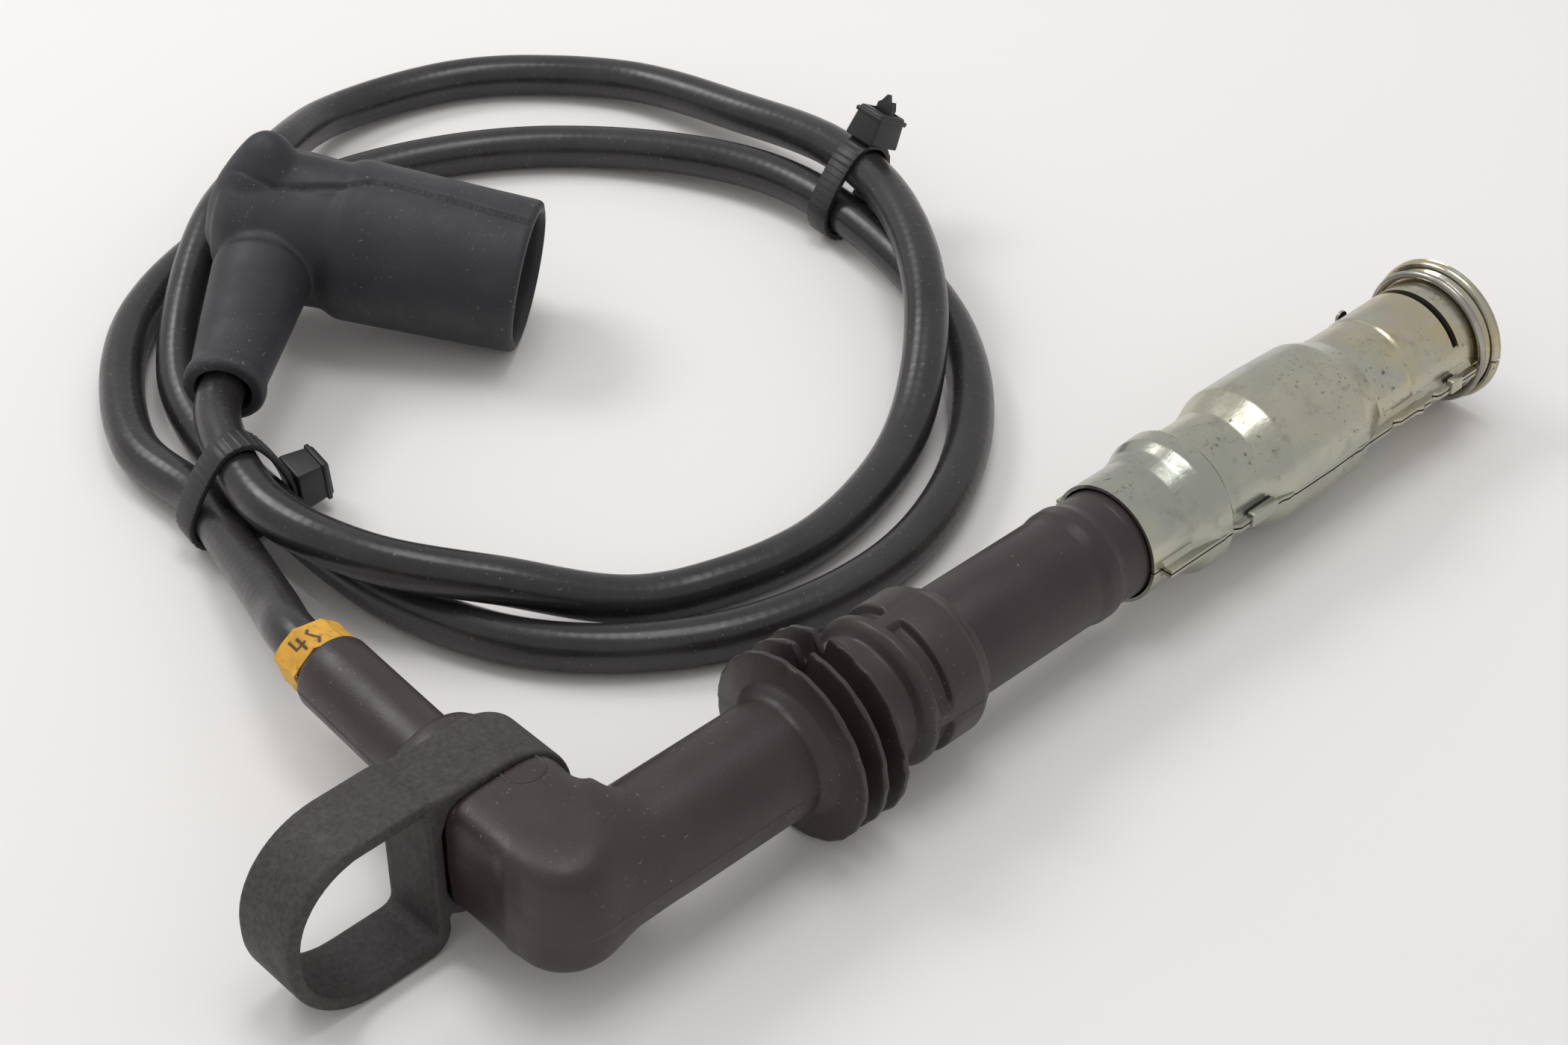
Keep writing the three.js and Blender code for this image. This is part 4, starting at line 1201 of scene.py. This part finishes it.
# Name, middle, yaw of the strands there, the head's place round them in degrees, the tail's length.
TIES = [
    ("cable_tie_1", (-17.0, 98.5, 5.0), -99, 4, 6.6),
    ("cable_tie_2", (102.0, 93.5, 5.0), -93, 60, 8.4),
]


def strands_at(place, reach=13.0):
    """Where the cable passes a place's plane, as (across, up) rows from the lowest up."""
    local = (cable_path - place[0]) @ np.stack(place[1:], 1)
    near = np.hypot(local[:, 0], local[:, 1]) < reach
    passes = np.nonzero((local[:-1, 2] * local[1:, 2] <= 0) & near[1:])[0]
    return sorted(local[passes + 1, :2].tolist(), key=lambda p: p[1])


def loose_hull(strands, reach, blur=9):
    """A strap's outline round strands. Its distance from the middle in each direction is the largest
    of the strands' own, h(t) = p.n + reach, blurred over some degrees and raised until it clears
    them again; the outline is h n + h' t, with n and t across and along it."""
    turn = turn_angles(360)
    n = np.stack([np.cos(turn), np.sin(turn)], 1)
    h = (n @ strands.T).max(1) + reach
    off = np.minimum(np.arange(360), 360 - np.arange(360))
    kernel = np.exp(-(off / blur) ** 2)
    soft = np.real(np.fft.ifft(np.fft.fft(h) * np.fft.fft(kernel / kernel.sum())))
    soft += max(0.0, float((h - soft).max()))
    slope = (np.roll(soft, -1) - np.roll(soft, 1)) / (2 * (turn[1] - turn[0]))
    return soft[:, None] * n + slope[:, None] * np.stack([-n[:, 1], n[:, 0]], 1)


TAIL_START = 2.6
TAIL_HALF = 1.7
TAIL_SIDES = (-0.9, 0.2)


def tail(place, reach):
    """The strap's end where it was torn off: a flat sheet with a jagged tip."""
    x, z = np.array([
        (TAIL_START, -TAIL_HALF), (TAIL_START, TAIL_HALF), (reach - 1.9, TAIL_HALF),
        (reach - 0.8, 1.1), (reach - 1.5, 0.5), (reach, -0.4), (reach - 1.3, -1.1),
        (reach - 1.8, -TAIL_HALF),
    ]).T
    return surface("tail", [at(place, x, side, z) for side in TAIL_SIDES], 20, ends="flat")


RIB_PITCH = 1.15
RIB_HEIGHT = 0.16


def ribbed(rings, outline):
    """The strap's rings with a saw-tooth on the outer side, a tooth every RIB_PITCH."""
    step = np.linalg.norm(outline[1] - outline[0])
    rib = RIB_HEIGHT * ((np.arange(TIE_STEPS) * step / RIB_PITCH) % 1)
    middle = outline.mean(0)
    radial = outline - middle
    far = np.linalg.norm(radial, axis=1)[:, None]
    outer = np.linalg.norm(rings[..., :2] - middle, axis=2) > far
    rings[..., :2] += (rib[:, None] * outer)[..., None] * (radial / far)[:, None]
    return rings


def tie_head(place):
    """The tie's head with the collar round its top and the pocket that the tail comes out of."""
    head = box_piece("head", place, (0.1, -3.5, -3.1), (5.6, 3.5, 3.1), 0.45, 0.86)
    collar = box_piece("collar", place, (4.3, -3.4, -3.0), (5.1, 3.4, 3.0), 0.25)
    pocket = box_piece("pocket", place, (2.4, -2.2, -2.0), (6.4, 1.4, 2.0), 0.2)
    return combined("DIFFERENCE", combined("UNION", head, collar), pocket)


def cable_tie(name, spot, yaw, head_angle, tail_reach):
    """One tie round the strands that pass its spot."""
    ahead = aimed(yaw, 0)[0]
    place = (np.array(spot), np.cross(UP, ahead), UP, ahead)
    reach = CABLE_RADIUS + TIE_SLACK + TIE_THICKNESS / 2
    outline = spaced(loose_hull(np.array(strands_at(place)), reach), TIE_STEPS)
    rings = ribbed(band_rings(outline, TIE_THICKNESS, TIE_WIDTH, 0.22), outline)
    strap = surface(name + "_detailed", at(place, *np.moveaxis(rings, -1, 0)), 30, along=True)
    c, s = math.cos(math.radians(head_angle)), math.sin(math.radians(head_angle))
    seat = outline[(outline @ [c, s]).argmax()]
    head_place = (at(place, *seat), place[1] * c + UP * s, UP * c - place[1] * s, ahead)
    return combined("UNION", strap, tie_head(head_place), tail(head_place, tail_reach))


for tie_name, *tie in TIES:
    made = smoothed(cable_tie(tie_name, *tie), 35)
    finished(made, tie_black, tie_name)

# %% [markdown]
# ## Metal and ceramic inside
#
# The terminals, the resistor and its spring show only through the two open ends. They keep the
# engineered shapes and take brass, steel and ceramic finishes.

# %% Inner pieces
def ceramic():
    """Unglazed off-white ceramic."""
    f = Finish("ceramic")
    colour = f.mix(f.ramp(f.noise(300, 4), 0.3, 0.7), srgb(222, 216, 204), srgb(205, 198, 184))
    return f.shade(Base_Color=colour, Roughness=f.ramp(f.noise(500), 0.3, 0.7, 0.4, 0.6),
                   Normal=f.bump(f.noise(1200), 0.0001, 0.4))


INNER = {
    "brass": (brass, "cable_terminal", "resistor_cap_cable_end", "resistor_cap_plug_end",
              "plug_clip_terminal", "coil_terminal"),
    "spring_steel": (spring_steel, "contact_spring"),
    "ceramic": (ceramic(), "suppression_resistor"),
}
for inner_slot, (material, *nodes) in INNER.items():
    for node in nodes:
        coated(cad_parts[node], material)
    print(inner_slot, "on", len(nodes), "inner pieces")

# %% [markdown]
# ## The cable's finish
#
# The cable runs from 20 mm inside the sleeve to 20 mm inside the coil boot's leg, and leaves the
# elbow at the sleeve's mouth. It rides on the one body with the tape and the two ties.

# %% Cable finish
finished(cable, cable_black, "ignition_cable")
metres(at(SLEEVE, SLEEVE_LENGTH)).tolist()

# %% [markdown]
# ## Ground and light
#
# A pale matte ground and a broad soft light from the far left leave soft shadows on the near side.
# A second, wide panel overhead gives the black cable its long, quiet highlights.

# %% Ground
def ground_finish():
    """Pale matte paper."""
    f = Finish("ground")
    colour = f.mix(f.ramp(f.noise(3, 3), 0.3, 0.7), srgb(237, 235, 234), srgb(234, 232, 231))
    return f.shade(Base_Color=colour, Roughness=0.9, Specular_IOR_Level=0.1,
                   Normal=f.bump(f.noise(900, 3), 0.00005, 0.2))


FLOOR_HALF = 3000
FLOOR_HEIGHT = -0.2
floor = new_object("floor", [
    (x * FLOOR_HALF, y * FLOOR_HALF, FLOOR_HEIGHT) for x, y in ((-1, -1), (1, -1), (1, 1), (-1, 1))
], [(0, 1, 2, 3)])
floor.data.materials.append(ground_finish())
floor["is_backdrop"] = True

# %% Lights
KEY_POWER = 1.9
OVERHEAD_POWER = 2.1
WORLD_STRENGTH = 0.65


def panel(name, spot, size, power, colour):
    """A rectangular lamp, in watts, aimed at the middle of the ground."""
    data = bpy.data.lights.new(name, "AREA")
    data.shape = "RECTANGLE"
    data.size, data.size_y = size
    data.energy = power
    data.color = colour
    lamp = bpy.data.objects.new(name, data)
    scene.collection.objects.link(lamp)
    lamp.location = spot
    lamp.rotation_euler = (-Vector(spot)).to_track_quat("-Z", "Y").to_euler()
    lamp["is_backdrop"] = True


panel("key", (-0.12, 0.55, 0.62), (0.36, 0.26), KEY_POWER, (1.0, 0.995, 0.985))
panel("overhead", (0.1, 0.0, 0.95), (0.5, 0.3), OVERHEAD_POWER, (1, 1, 1))
world = bpy.data.worlds.new("world")
scene.world = world
world.use_nodes = True
background = world.node_tree.nodes["Background"]
background.inputs["Color"].default_value = (1.0, 0.99, 0.982, 1)
background.inputs["Strength"].default_value = WORLD_STRENGTH

# %% Sizes
low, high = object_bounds()
print("visual box", [round(v, 4) for v in (*low, *high)])
